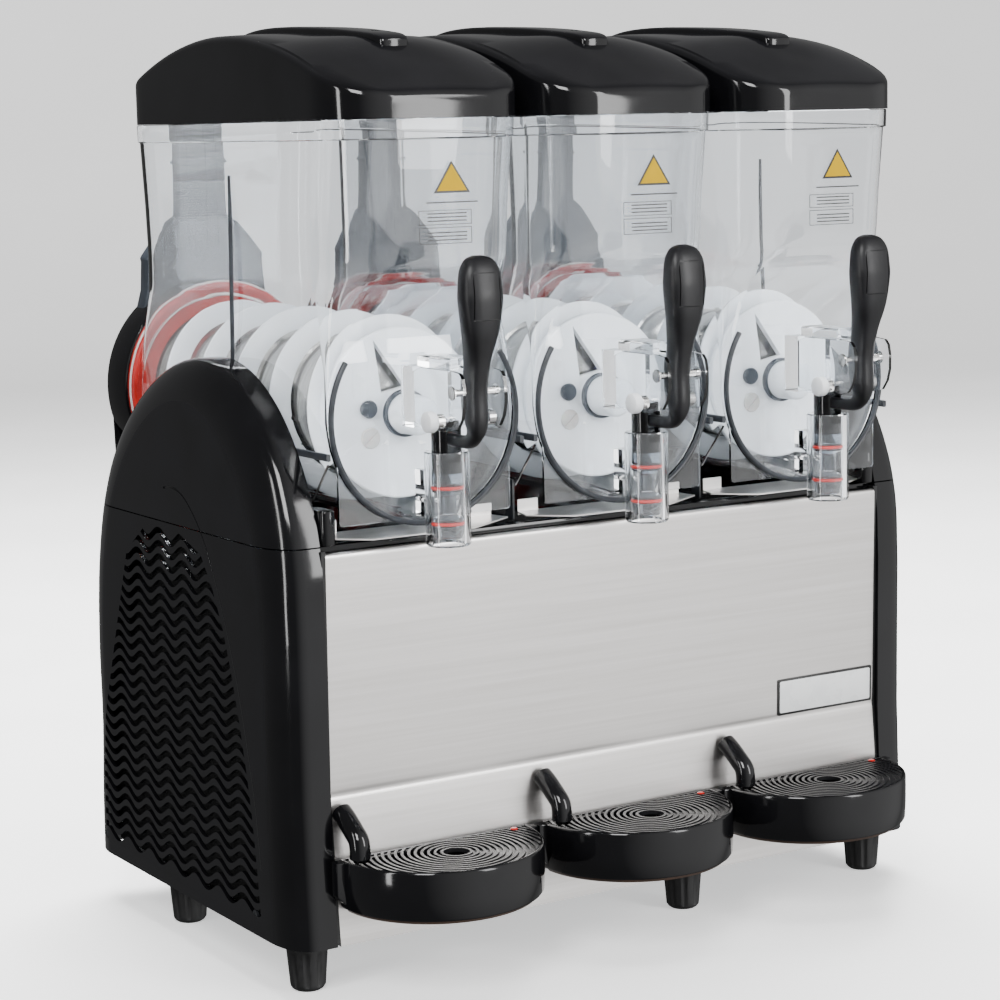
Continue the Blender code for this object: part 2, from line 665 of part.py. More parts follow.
def make_grille(name, centre):
    """Flat grille in the tray, with arc slots about the point under the tap."""
    plate = prism_z(tray_outline(centre, TRAY_WALL + 0.0004), TRAY_TOP - 0.0035, TRAY_TOP - 0.0005)
    grille = add_object(f"{name}_grille", plate, gloss_black())
    low, high = TRAY_TOP - 0.01, TRAY_TOP + 0.01
    cut(grille, turned([(0.0095, low), (0.0095, high)], "Z", (centre, TAP_Y), 12),
        f"{name}_grille_hole")
    cut(grille, turned([(0.0050, low), (0.0050, high)], "Z", (centre - 0.078, -0.1700), 8),
        f"{name}_drain_hole")
    bm = bmesh.new()
    for radius in (0.020, 0.031, 0.042):
        inner = arc((centre, TAP_Y), radius, -150, -30, 6)
        outer = arc((centre, TAP_Y), radius + 0.005, -30, -150, 6)
        loft(bm, [[(x, y, z) for x, y in inner + outer] for z in (low, high)])
    cut(grille, bm, f"{name}_grille_slots")


def make_elbow(name, centre):
    """Condensate spout: comes out of the front panel and turns down over the tray."""
    x = centre - 0.080
    rings = []
    for y, z, tilt in ((-0.1456, 0.1530, 90), (-0.1600, 0.1440, 50), (-0.1690, 0.1375, 30),
                       (-0.1725, 0.1300, 0), (-0.1725, 0.1200, 0)):
        turn = math.radians(tilt)
        ring = []
        for u, v in circle((0, 0), 0.0078, 12):
            ring.append((x + u, y + v * math.cos(turn), z - v * math.sin(turn)))
        rings.append(ring)
    add_object(f"{name}_drain_spout", new_loft(rings), gloss_black())


def make_station(name, centre):
    make_bowl(name, centre)
    make_lid(name, centre)
    make_evaporator(name, centre)
    make_auger(name, centre)
    make_rear_seal(name, centre)
    make_housing(name, centre)
    make_gearmotor(name, centre)
    make_piston(name, centre)
    make_handle(name, centre)
    make_tray(name, centre)
    make_grille(name, centre)
    make_elbow(name, centre)


def main():
    clear_scene()
    make_base_plate()
    for side, sign in (("left", -1), ("right", 1)):
        make_frame(side, sign)
        make_side_covers(side, sign)
    make_deck()
    make_front_panel()
    make_rear_panel()
    make_feet()
    make_cooling_unit()
    make_rear_fittings()
    make_rear_cover()
    for name, centre in zip(BOWL_NAMES, BOWL_CENTRES):
        make_station(name, centre)


main()
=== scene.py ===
"""Looks of a three-bowl frozen drink machine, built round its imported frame.

It runs as a script: the frame is loaded, the operators below are registered and called in order,
and the pieces they make ride on the frame's bodies.
"""

import math

import bmesh
import bpy
from mathutils import Matrix, Vector


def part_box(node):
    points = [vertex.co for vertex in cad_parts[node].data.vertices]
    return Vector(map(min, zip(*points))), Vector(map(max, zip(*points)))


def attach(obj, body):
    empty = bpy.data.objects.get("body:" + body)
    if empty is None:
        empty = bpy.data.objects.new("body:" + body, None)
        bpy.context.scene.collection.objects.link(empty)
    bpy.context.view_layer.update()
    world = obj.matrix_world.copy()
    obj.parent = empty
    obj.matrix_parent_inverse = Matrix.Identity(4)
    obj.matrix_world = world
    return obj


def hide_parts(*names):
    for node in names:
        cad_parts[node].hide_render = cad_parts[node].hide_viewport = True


bl_info = {
    "name": "Frozen Drink Machine",
    "version": (1, 0, 0),
    "blender": (4, 5, 0),
    "location": "View3D > Sidebar > Drink Machine",
    "description": "Builds the looks of a three-bowl frozen drink machine round its frame",
    "category": "Add Mesh",
}

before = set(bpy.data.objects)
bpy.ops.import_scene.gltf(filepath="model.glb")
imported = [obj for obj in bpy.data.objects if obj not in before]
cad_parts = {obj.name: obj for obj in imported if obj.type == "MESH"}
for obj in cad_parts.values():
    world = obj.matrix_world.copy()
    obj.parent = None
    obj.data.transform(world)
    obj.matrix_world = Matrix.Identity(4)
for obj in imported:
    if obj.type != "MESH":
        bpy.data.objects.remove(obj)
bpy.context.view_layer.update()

STATIONS = ("left", "middle", "right")
CENTRE = {name: sum(corner.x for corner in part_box(f"{name}_evaporator")) / 2 for name in STATIONS}
SHIFT = {name: CENTRE[name] - CENTRE["middle"] for name in STATIONS}

DRUM_LOW, DRUM_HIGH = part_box("middle_evaporator")
BOWL_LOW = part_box("middle_bowl")[0]
LID_LOW, LID_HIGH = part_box("middle_lid")
CUP_LOW, CUP_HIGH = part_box("middle_housing")
SEAL_LOW, SEAL_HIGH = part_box("middle_rear_seal")
AUGER_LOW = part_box("middle_auger")[0]
PISTON_LOW, PISTON_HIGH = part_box("middle_piston")
TRAY_LOW, TRAY_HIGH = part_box("middle_drip_tray")
GRILLE_LOW, GRILLE_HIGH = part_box("middle_grille")
DECK_LOW, DECK_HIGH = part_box("deck")
PANEL_LOW, PANEL_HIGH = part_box("front_panel")
COVER_LOW, COVER_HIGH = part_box("left_vent_cover")

AXIS_Z = sum(corner.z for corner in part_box("middle_rear_seal")) / 2
BOWL_RADIUS = AXIS_Z - 0.3835
WALL = 0.003
BOWL_FRONT = -0.156      # flat front of the round trough
BOX_FRONT = -0.19       # front of the box above it
BOWL_BACK = 0.205
BOWL_TOP = LID_LOW.z - 0.0003
RIM_FRONT = -0.1965
FRONT_CORNER = 0.05      # round front corners of bowl and lid
BACK_CORNER = 0.024       # round back corners of the bowl
LID_HALF = 0.09
LID_BACK_CORNER = 0.029
PIN_RADIUS = 0.0029
TAP_Y = (PISTON_LOW.y + PISTON_HIGH.y) / 2
TAP_RADIUS = 0.0183
PIVOT_Y, PIVOT_Z = -0.236, 0.498
CHEEK_INNER, CHEEK_OUTER = 0.0174, 0.0204
FOLD_Y, FOLD_Z = -0.143, 0.167


def linear(code):
    """A colour written as sRGB hex, turned to linear red, green, blue and alpha."""
    parts = [int(code[i:i + 2], 16) / 255 for i in (1, 3, 5)]
    return tuple(c / 12.92 if c <= 0.04045 else ((c + 0.055) / 1.055) ** 2.4
                 for c in parts) + (1.0,)


# ---------------------------------------------------------------- settings

class MachineSizes(bpy.types.PropertyGroup):
    """Sizes of the repeated details."""

    vent_rows: bpy.props.IntProperty(
        name="Vent Rows", description="Wavy slots in each side cover", default=26, min=1)
    vent_pitch: bpy.props.FloatProperty(
        name="Vent Pitch", description="Height from one slot to the next",
        default=0.0117, unit="LENGTH")
    vent_slot: bpy.props.FloatProperty(
        name="Vent Slot", description="Open height of a slot", default=0.0056, unit="LENGTH")
    wave_length: bpy.props.FloatProperty(
        name="Wave Length", description="Length of one wave of a slot",
        default=0.047, unit="LENGTH")
    wave_height: bpy.props.FloatProperty(
        name="Wave Height", description="Half the rise and fall of a wave",
        default=0.0046, unit="LENGTH")
    ring_pitch: bpy.props.FloatProperty(
        name="Ring Pitch", description="Distance between the rings of a drip grille",
        default=0.0054, unit="LENGTH")
    flight_turns: bpy.props.FloatProperty(
        name="Flight Turns", description="Turns of an auger's blade", default=4.6)
    fin_count: bpy.props.IntProperty(
        name="Condenser Fins", description="Fins of the condenser", default=64, min=1)


class MachineColours(bpy.types.PropertyGroup):
    """Colours of the main finishes."""

    body: bpy.props.FloatVectorProperty(
        name="Body", description="Moulded black of the covers, lids and trays",
        subtype="COLOR", size=4, default=linear("#0b0b0d"), min=0, max=1)
    auger: bpy.props.FloatVectorProperty(
        name="Augers", description="White of the auger blades",
        subtype="COLOR", size=4, default=linear("#eff1f4"), min=0, max=1)
    seal: bpy.props.FloatVectorProperty(
        name="Seals", description="Red of the seals and O-rings",
        subtype="COLOR", size=4, default=linear("#a5160f"), min=0, max=1)


def sizes():
    """The scene's sizes of repeated details."""
    return bpy.context.scene.drink_machine_sizes


def colours():
    """The scene's colours of the main finishes."""
    return bpy.context.scene.drink_machine_colours


# ---------------------------------------------------------------- materials

def add_node(tree, kind, values=None, links=None, **settings):
    """Adds one node, sets its attributes and input values, and links sources to its inputs."""
    made = tree.nodes.new(kind)
    for key, value in settings.items():
        setattr(made, key, value)
    for socket, value in (values or {}).items():
        made.inputs[socket].default_value = value
    for socket, source in (links or {}).items():
        tree.links.new(source, made.inputs[socket])
    return made


def new_material(name):
    """An empty node material of that name."""
    made = bpy.data.materials.new(name)
    made.use_nodes = True
    made.node_tree.nodes.clear()
    return made


def speckle(tree, size_mm, stretch=(1, 1, 1), detail=3.0):
    """Noise in object space whose spots measure size_mm, drawn out by stretch along an axis."""
    place = add_node(tree, "ShaderNodeTexCoord").outputs["Object"]
    scale = [1000 / (size_mm * factor) for factor in stretch]
    sized = add_node(tree, "ShaderNodeMapping", {"Scale": scale}, {"Vector": place})
    return add_node(tree, "ShaderNodeTexNoise", {"Scale": 1.0, "Detail": detail},
                    {"Vector": sized.outputs["Vector"]}).outputs["Fac"]


def between(tree, factor, low, high):
    """A number that runs from low to high over the useful part of a noise."""
    return add_node(tree, "ShaderNodeMapRange",
                    {"From Min": 0.3, "From Max": 0.7, "To Min": low, "To Max": high},
                    {"Value": factor}).outputs["Result"]


def tinted(tree, factor, dark, light):
    """A colour that runs from dark to light over a noise."""
    mixer = add_node(tree, "ShaderNodeMix", data_type="RGBA")
    sockets = [s for s in mixer.inputs if s.type == "RGBA"]
    sockets[0].default_value = dark
    sockets[1].default_value = light
    tree.links.new(between(tree, factor, 0.0, 1.0), mixer.inputs["Factor"])
    return [s for s in mixer.outputs if s.type == "RGBA"][0]


def surface(name, dark, light, mottle_mm, roughness, grain_mm, grain_depth_mm, stretch=(1, 1, 1),
            **values):
    """A Principled finish with mottled colour and roughness, and a fine grain in its relief."""
    made = new_material(name)
    tree = made.node_tree
    mottle = speckle(tree, mottle_mm, stretch)
    grain = speckle(tree, grain_mm, stretch, 2.0)
    relief = add_node(tree, "ShaderNodeBump",
                      {"Strength": 0.6, "Distance": grain_depth_mm / 1000}, {"Height": grain})
    shader = add_node(tree, "ShaderNodeBsdfPrincipled", values, {
        "Base Color": tinted(tree, mottle, dark, light),
        "Roughness": between(tree, mottle, *roughness),
        "Normal": relief.outputs["Normal"]})
    add_node(tree, "ShaderNodeOutputMaterial", links={"Surface": shader.outputs["BSDF"]})
    return made


def shaded(colour, factor):
    """A linear colour made lighter or darker."""
    return tuple(min(c * factor, 1.0) for c in colour[:3]) + (1.0,)


def gloss_abs():
    """Injection-moulded ABS from a polished tool: deep black, sharp lights, faint orange peel."""
    body = tuple(colours().body)
    return surface("gloss_black_abs", shaded(body, 0.75), shaded(body, 1.3), 60, (0.07, 0.13), 7,
                   0.02, **{"IOR": 1.5, "Specular IOR Level": 0.4})


def grained_abs():
    """ABS with a fine spark-eroded grain, as on the covers' flat faces: dark and softly lit."""
    return surface("grained_black_abs", linear("#0c0c0e"), linear("#131316"), 45, (0.28, 0.38), 1.2,
                   0.03, **{"IOR": 1.5, "Specular IOR Level": 0.3})


def soft_touch_nylon():
    """Moulded nylon of the tap levers: near black, satin, with a fine pebble."""
    return surface("satin_black_nylon", linear("#0b0b0d"), linear("#141417"), 18, (0.34, 0.46), 0.9,
                   0.04, **{"IOR": 1.5, "Specular IOR Level": 0.35})


def smoked_abs():
    """Charcoal ABS of the cable columns: mid grey, satin."""
    return surface("charcoal_abs", linear("#2c3138"), linear("#3a4048"), 30, (0.35, 0.48), 1.5,
                   0.03, **{"IOR": 1.5})


def brushed_steel():
    """Stainless sheet brushed along its length: pale warm grey with fine level streaks."""
    return surface("brushed_stainless_sheet", linear("#d6d3d0"), linear("#e0dddb"), 3,
                   (0.32, 0.38), 0.7, 0.006, stretch=(60, 1, 1), Metallic=1.0)


def drawn_steel():
    """Deep-drawn and polished stainless of the cold drums: bright, with faint rings round them."""
    return surface("polished_stainless_drum", linear("#a5a39f"), linear("#c4c2bf"), 4, (0.16, 0.26),
                   1.4, 0.006, stretch=(12, 0.6, 12), Metallic=1.0)


def wire_steel():
    """Bright drawn stainless wire and pins."""
    return surface("drawn_stainless_wire", linear("#bdbbb8"), linear("#dcdad8"), 6, (0.1, 0.2), 2.0,
                   0.01, Metallic=1.0)


def zinc_sheet():
    """Hot-dip galvanised sheet: dull blue-grey with large soft crystals."""
    return surface("galvanised_sheet", linear("#989da0"), linear("#a9aeb1"), 9, (0.4, 0.5), 5, 0.02,
                   Metallic=0.9)


def painted_steel():
    """Black stoving enamel on the compressor and motors: even, half gloss."""
    return surface("black_enamelled_steel", linear("#17181a"), linear("#222427"), 25, (0.28, 0.38),
                   3, 0.03, **{"IOR": 1.5})


def fin_stock():
    """Thin rolled aluminium of the fins: light, slightly dull."""
    return surface("rolled_aluminium_fin", linear("#a9acae"), linear("#c9cbcd"), 5, (0.28, 0.4),
                   1.5, 0.01, Metallic=1.0)


def acetal():
    """Moulded white acetal: waxy, slightly see-through at its edges."""
    white = tuple(colours().auger)
    return surface("white_acetal", shaded(white, 0.93), white, 35, (0.28, 0.38), 3, 0.015,
                   **{"IOR": 1.48, "Subsurface Weight": 0.25, "Subsurface Radius": (1.0, 1.0, 1.1),
                      "Subsurface Scale": 0.006})


def silicone():
    """Red silicone of the seals: satin and a little soft to light."""
    red = tuple(colours().seal)
    return surface("red_silicone", shaded(red, 0.8), shaded(red, 1.15), 12, (0.32, 0.45), 2, 0.02,
                   **{"IOR": 1.41})


def clear_silicone():
    """Milky natural silicone of the lip seals."""
    return surface("milky_silicone", linear("#b9b6b2"), linear("#cfccc8"), 10, (0.3, 0.42), 2, 0.02,
                   **{"IOR": 1.41, "Subsurface Weight": 0.2, "Subsurface Scale": 0.002})


def nitrile():
    """Extruded nitrile rubber of the front rings: dark grey, half matt."""
    return surface("dark_nitrile_rubber", linear("#1d2025"), linear("#33373d"), 9, (0.3, 0.45), 1.5,
                   0.03, **{"IOR": 1.52})


def foot_rubber():
    """Filled rubber of the feet: black and matt, with a powdery bloom."""
    return surface("black_foot_rubber", linear("#080809"), linear("#111112"), 7, (0.45, 0.62), 1.0,
                   0.05, **{"IOR": 1.52})


def yellow_vinyl():
    """Printed yellow vinyl film."""
    return surface("yellow_vinyl_film", linear("#bc9700"), linear("#c49e00"), 15, (0.4, 0.5), 2,
                   0.005, **{"IOR": 1.5, "Specular IOR Level": 0.1})


def black_vinyl():
    """Printed black vinyl film."""
    return surface("black_vinyl_film", linear("#101010"), linear("#1b1b1b"), 15, (0.3, 0.38), 2,
                   0.005, **{"IOR": 1.5})


def badge_enamel():
    """Pale satin enamel on an aluminium badge."""
    return surface("pale_badge_enamel", linear("#dfe1e2"), linear("#eceeee"), 20, (0.22, 0.32), 2,
                   0.005, **{"IOR": 1.5})


def brown_moulding():
    """Unpainted brown edge of the trays' moulded base."""
    return surface("brown_base_moulding", linear("#3a2b22"), linear("#4c382c"), 10, (0.4, 0.55), 2,
                   0.03, **{"IOR": 1.5})


def red_lens():
    """Glossy red lens of the switch and floats."""
    return surface("red_lens_plastic", linear("#a3150f"), linear("#c52018"), 12, (0.12, 0.2), 3,
                   0.01, **{"IOR": 1.5})


def see_through(name, tint, shade, roughness, ior):
    """Clear moulding that bends light for the eye and lets lamps shine through."""
    made = new_material(name)
    tree = made.node_tree
    haze = speckle(tree, 30)
    ripple = speckle(tree, 45, detail=1.0)
    relief = add_node(tree, "ShaderNodeBump", {"Strength": 0.15, "Distance": 0.0002},
                      {"Height": ripple})
    glass = add_node(tree, "ShaderNodeBsdfPrincipled",
                     {"Transmission Weight": 1.0, "IOR": ior}, {
                         "Base Color": tinted(tree, haze, shaded(tint, 0.985), tint),
                         "Roughness": between(tree, haze, *roughness),
                         "Normal": relief.outputs["Normal"]})
    lamps = add_node(tree, "ShaderNodeBsdfTransparent", {"Color": shade})
    path = add_node(tree, "ShaderNodeLightPath")
    both = add_node(tree, "ShaderNodeMixShader")
    tree.links.new(path.outputs["Is Shadow Ray"], both.inputs[0])
    tree.links.new(glass.outputs["BSDF"], both.inputs[1])
    tree.links.new(lamps.outputs["BSDF"], both.inputs[2])
    add_node(tree, "ShaderNodeOutputMaterial", links={"Surface": both.outputs["Shader"]})
    return made


def polycarbonate():
    """Injection-moulded polycarbonate of the bowls: water clear, faintly cool, bright edges."""
    return see_through("clear_polycarbonate", linear("#f7f9fb"), linear("#eef1f3"), (0.0, 0.02),
                       1.5)


def smoked_polycarbonate():
    """Grey-tinted clear moulding of the tap spools."""
    return see_through("grey_polycarbonate", linear("#8d949c"), linear("#9aa0a6"), (0.02, 0.05),
                       1.5)


MADE = {}


def finish_of(maker):
    """The material that a maker function gives, made once."""
    if maker not in MADE:
        MADE[maker] = maker()
    return MADE[maker]


# ---------------------------------------------------------------- shapes

def arc(centre, radius, start, end, steps):
    """Points on a round stretch, from one angle in degrees to another."""
    turns = [math.radians(start + (end - start) * i / steps) for i in range(steps + 1)]
    return [(centre[0] + radius * math.cos(t), centre[1] + radius * math.sin(t)) for t in turns]


def softened(points, rounds):
    """An open line with its corners cut, keeping its ends."""
    for _ in range(rounds):
        kept = [points[0]]
        for a, b in zip(points, points[1:]):
            kept.append(tuple(0.75 * p + 0.25 * q for p, q in zip(a, b)))
            kept.append(tuple(0.25 * p + 0.75 * q for p, q in zip(a, b)))
        points = kept + [points[-1]]
    return points


def through(points, steps):
    """A smooth line that passes through the given tuples."""
    line = []
    last = len(points) - 1
    for i in range(last):
        p = [points[max(i - 1, 0)], points[i], points[i + 1], points[min(i + 2, last)]]
        for s in range(steps):
            t = s / steps
            line.append(tuple(
                0.5 * (2 * b + (c - a) * t + (2 * a - 5 * b + 4 * c - d) * t * t
                       + (3 * b - a - 3 * c + d) * t ** 3)
                for a, b, c, d in zip(*p)))
    return line + [points[-1]]


def loft(rings, closed=False, bm=None):
    """Skin over rings of equal length, capped at both ends, or joined end to end if closed.
    Every maker of a shape starts a new bmesh, or adds to the one it is given."""
    bm = bmesh.new() if bm is None else bm
    rows = [[bm.verts.new(point) for point in ring] for ring in rings]
    pairs = list(zip(rows, rows[1:])) + ([(rows[-1], rows[0])] if closed else [])
    for near, far in pairs:
        for i in range(len(near)):
            j = (i + 1) % len(near)
            bm.faces.new((near[i], near[j], far[j], far[i]))
    if not closed:
        bm.faces.new(list(reversed(rows[0])))
        bm.faces.new(rows[-1])
    return bm


def placed(axis, u, v, along):
    """A point from its two cross coordinates and its place along an axis."""
    return {"X": (along, u, v), "Y": (u, along, v), "Z": (u, v, along)}[axis]


def turned(profile, axis, centre, steps=64, closed=False, bm=None):
    """Body of revolution: profile is (radius, place along the axis)."""
    rings = [[placed(axis, u, v, along) for u, v in arc(centre, radius, 0, 360, steps)[:-1]]
             for radius, along in profile]
    return loft(rings, closed, bm)


def round_bowl(profile, steps=96, closed=False):
    """Body of revolution about the level axis of a bowl."""
    return turned(profile, "Y", (0, AXIS_Z), steps, closed)


def round_tap(profile, steps=48, closed=False):
    """Body of revolution about the upright axis of a tap."""
    return turned(profile, "Z", (0, TAP_Y), steps, closed)


def prism(outline, axis, low, high, bm=None):
    """An outline pushed from one place along an axis to another."""
    return loft([[placed(axis, u, v, along) for u, v in outline] for along in (low, high)], bm=bm)


def block(low, high, bm=None):
    """A box between two corners."""
    outline = [(low[0], low[1]), (high[0], low[1]), (high[0], high[1]), (low[0], high[1])]
    return prism(outline, "Z", low[2], high[2], bm)


def rounded(low, high, radius, steps=6):
    """A rectangle with round corners, from its low and high corners."""
    (x0, y0), (x1, y1) = low, high
    corners = (((x1 - radius, y0 + radius), -90), ((x1 - radius, y1 - radius), 0),
               ((x0 + radius, y1 - radius), 90), ((x0 + radius, y0 + radius), 180))
    return [p for centre, start in corners for p in arc(centre, radius, start, start + 90, steps)]


def tube(path, radius, steps=12, bm=None):
    """A round bar along a path of points, with flat ends."""
    path = [Vector(p) for p in path]
    side = None
    rings = []
    for i, point in enumerate(path):
        ahead = (path[min(i + 1, len(path) - 1)] - path[max(i - 1, 0)]).normalized()
        if side is None:
            side = ahead.orthogonal().normalized()
        side = (side - ahead * side.dot(ahead)).normalized()
        other = ahead.cross(side)
        rings.append([point + radius * (side * math.cos(t) + other * math.sin(t))
                      for t in (2 * math.pi * s / steps for s in range(steps))])
    return loft(rings, bm=bm)


def new_piece(name, bm, maker, bevel=0.0, segments=3):
    """Makes an object of a bmesh, with its material, and rounds its edges if bevel is given."""
    bmesh.ops.recalc_face_normals(bm, faces=bm.faces)
    mesh = bpy.data.meshes.new(name)
    bm.to_mesh(mesh)
    bm.free()
    made = bpy.data.objects.new(name, mesh)
    bpy.context.scene.collection.objects.link(made)
    if maker is not None:
        mesh.materials.append(finish_of(maker))
    if bevel:
        rounding = made.modifiers.new("rounding", "BEVEL")
        rounding.width = bevel
        rounding.segments = segments
        rounding.limit_method = "ANGLE"
        rounding.angle_limit = math.radians(38)
        settled(made)
    return made


def settled(piece):
    """Turns a piece's modifiers into its own mesh."""
    bpy.context.view_layer.update()
    evaluated = piece.evaluated_get(bpy.context.evaluated_depsgraph_get())
    mesh = bpy.data.meshes.new_from_object(evaluated)
    piece.modifiers.clear()
    piece.data = mesh
    return piece


def combined(piece, tool, operation):
    """Adds or cuts a tool object by an exact boolean, and removes the tool."""
    change = piece.modifiers.new("shape", "BOOLEAN")
    change.operation = operation
    change.solver = "EXACT"
    change.object = tool
    settled(piece)
    bpy.data.objects.remove(tool)
    return piece


def carved(piece, bm):
    """Cuts a shape out of a piece."""
    return combined(piece, new_piece("tool", bm, None), "DIFFERENCE")


def welded(piece, bm):
    """Joins a shape to a piece as one solid."""
    return combined(piece, new_piece("tool", bm, None), "UNION")


def smoothed(piece, angle=35):
    """Smooth shading, with edges sharper than an angle left crisp."""
    mesh = piece.data
    mesh.shade_smooth()
    mesh.set_sharp_from_angle(angle=math.radians(angle))
    return piece


def mounted(piece, body, slot, *nodes, angle=35):
    """A finished piece: smooth, on its body, with the nodes it stands for hidden. The slot argument
    is not used.
    """
    smoothed(piece, angle)
    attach(piece, body)
    if nodes:
        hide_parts(*nodes)
    return piece


def at_stations(pattern, body, slot, node="", angle=35, names=STATIONS):
    """Copies a piece made at the middle bowl to each station and mounts it there.
    body and node are the names after the station's own, or body is root."""
    for name in names:
        copy = bpy.data.objects.new(f"{name}_{pattern.name}", pattern.data.copy())
        bpy.context.scene.collection.objects.link(copy)
        copy.data.transform(Matrix.Translation((SHIFT[name], 0, 0)))
        owner = body if body == "root" else f"{name}_{body}"
        mounted(copy, owner, slot, *([f"{name}_{node}"] if node else []), angle=angle)
    bpy.data.objects.remove(pattern)


# ---------------------------------------------------------------- repeats, by geometry nodes

def new_tree(name, inputs):
    """A geometry node group with named inputs, given as (name, socket type, default)."""
    tree = bpy.data.node_groups.new(name, "GeometryNodeTree")
    tree.interface.new_socket("Geometry", in_out="INPUT", socket_type="NodeSocketGeometry")
    for label, kind, default in inputs:
        tree.interface.new_socket(label, in_out="INPUT", socket_type=kind).default_value = default
    tree.interface.new_socket("Material", in_out="INPUT", socket_type="NodeSocketMaterial")
    tree.interface.new_socket("Geometry", in_out="OUTPUT", socket_type="NodeSocketGeometry")
    given = add_node(tree, "NodeGroupInput").outputs
    return tree, given


def close_tree(tree, given, geometry):
    """Ends a tree: real geometry, with the given material."""
    real = add_node(tree, "GeometryNodeRealizeInstances", links={"Geometry": geometry})
    painted = add_node(tree, "GeometryNodeSetMaterial",
                       links={"Geometry": real.outputs["Geometry"], "Material": given["Material"]})
    add_node(tree, "NodeGroupOutput", links={"Geometry": painted.outputs["Geometry"]})


def math_node(tree, operation, first, second):
    """One arithmetic node. Each input is a number or a socket."""
    made = add_node(tree, "ShaderNodeMath", operation=operation)
    for socket, value in zip(made.inputs, (first, second)):
        if isinstance(value, (int, float)):
            socket.default_value = value
        else:
            tree.links.new(value, socket)
    return made.outputs["Value"]


def wave_rows():
    """Wavy bars in rows above each other: what is cut out of a vent cover."""
    tree, given = new_tree("wave_rows", (
        ("Rows", "NodeSocketInt", 26), ("Pitch", "NodeSocketFloat", 0.0117),
        ("Slot", "NodeSocketFloat", 0.0056), ("Wave Length", "NodeSocketFloat", 0.047),
        ("Wave Height", "NodeSocketFloat", 0.0046), ("Length", "NodeSocketFloat", 0.36),
        ("Depth", "NodeSocketFloat", 0.04)))
    half = math_node(tree, "MULTIPLY", given["Length"], 0.5)
    start = add_node(tree, "ShaderNodeCombineXYZ",
                     links={"Y": math_node(tree, "MULTIPLY", half, -1.0)})
    end = add_node(tree, "ShaderNodeCombineXYZ", links={"Y": half})
    line = add_node(tree, "GeometryNodeCurvePrimitiveLine",
                    links={"Start": start.outputs[0], "End": end.outputs[0]})
    fine = add_node(tree, "GeometryNodeResampleCurve", {"Count": 130},
                    {"Curve": line.outputs["Curve"]})
    place = add_node(tree, "GeometryNodeInputPosition").outputs[0]
    y = add_node(tree, "ShaderNodeSeparateXYZ", links={"Vector": place}).outputs["Y"]
    waves = math_node(tree, "DIVIDE", y, given["Wave Length"])
    turn = math_node(tree, "MULTIPLY", waves, 2 * math.pi)
    rise = math_node(tree, "MULTIPLY", math_node(tree, "SINE", turn, 0.0), given["Wave Height"])
    lifted = add_node(tree, "GeometryNodeSetPosition", links={
        "Geometry": fine.outputs["Curve"],
        "Offset": add_node(tree, "ShaderNodeCombineXYZ", links={"Z": rise}).outputs[0]})
    upright = add_node(tree, "GeometryNodeSetCurveNormal",
                       links={"Curve": lifted.outputs["Geometry"]}, mode="Z_UP")
    section = add_node(tree, "GeometryNodeCurvePrimitiveQuadrilateral",
                       links={"Width": given["Depth"], "Height": given["Slot"]})
    bar = add_node(tree, "GeometryNodeCurveToMesh", {"Fill Caps": True}, {
        "Curve": upright.outputs["Curve"], "Profile Curve": section.outputs["Curve"]})
    step = add_node(tree, "ShaderNodeCombineXYZ", links={"Z": given["Pitch"]})
    rows = add_node(tree, "GeometryNodeMeshLine",
                    links={"Count": given["Rows"], "Offset": step.outputs[0]})
    copies = add_node(tree, "GeometryNodeInstanceOnPoints", links={
        "Points": rows.outputs["Mesh"], "Instance": bar.outputs["Mesh"]})
    close_tree(tree, given, copies.outputs["Instances"])
    return tree


def ring_rows():
    """Rings of even section about one centre: the grooves of a drip grille."""
    tree, given = new_tree("ring_rows", (
        ("Count", "NodeSocketInt", 20), ("First Radius", "NodeSocketFloat", 0.014),
        ("Pitch", "NodeSocketFloat", 0.0054), ("Width", "NodeSocketFloat", 0.0026),
        ("Depth", "NodeSocketFloat", 0.003)))
    points = add_node(tree, "GeometryNodeMeshLine", {"Offset": (0, 0, 0)},
                      {"Count": given["Count"]})
    index = add_node(tree, "GeometryNodeInputIndex").outputs[0]
    grown = math_node(tree, "MULTIPLY", index, given["Pitch"])
    radius = math_node(tree, "ADD", grown, given["First Radius"])
    size = add_node(tree, "ShaderNodeCombineXYZ", {"Z": 1.0}, {"X": radius, "Y": radius})
    ring = add_node(tree, "GeometryNodeCurvePrimitiveCircle", {"Resolution": 72, "Radius": 1.0})
    copies = add_node(tree, "GeometryNodeInstanceOnPoints", links={
        "Points": points.outputs["Mesh"], "Instance": ring.outputs["Curve"],
        "Scale": size.outputs[0]})
    real = add_node(tree, "GeometryNodeRealizeInstances",
                    links={"Geometry": copies.outputs["Instances"]})
    upright = add_node(tree, "GeometryNodeSetCurveNormal",
                       links={"Curve": real.outputs["Geometry"]}, mode="Z_UP")
    section = add_node(tree, "GeometryNodeCurvePrimitiveQuadrilateral",
                       links={"Width": given["Width"], "Height": given["Depth"]})
    bars = add_node(tree, "GeometryNodeCurveToMesh", links={
        "Curve": upright.outputs["Curve"], "Profile Curve": section.outputs["Curve"]})
    close_tree(tree, given, bars.outputs["Mesh"])
    return tree


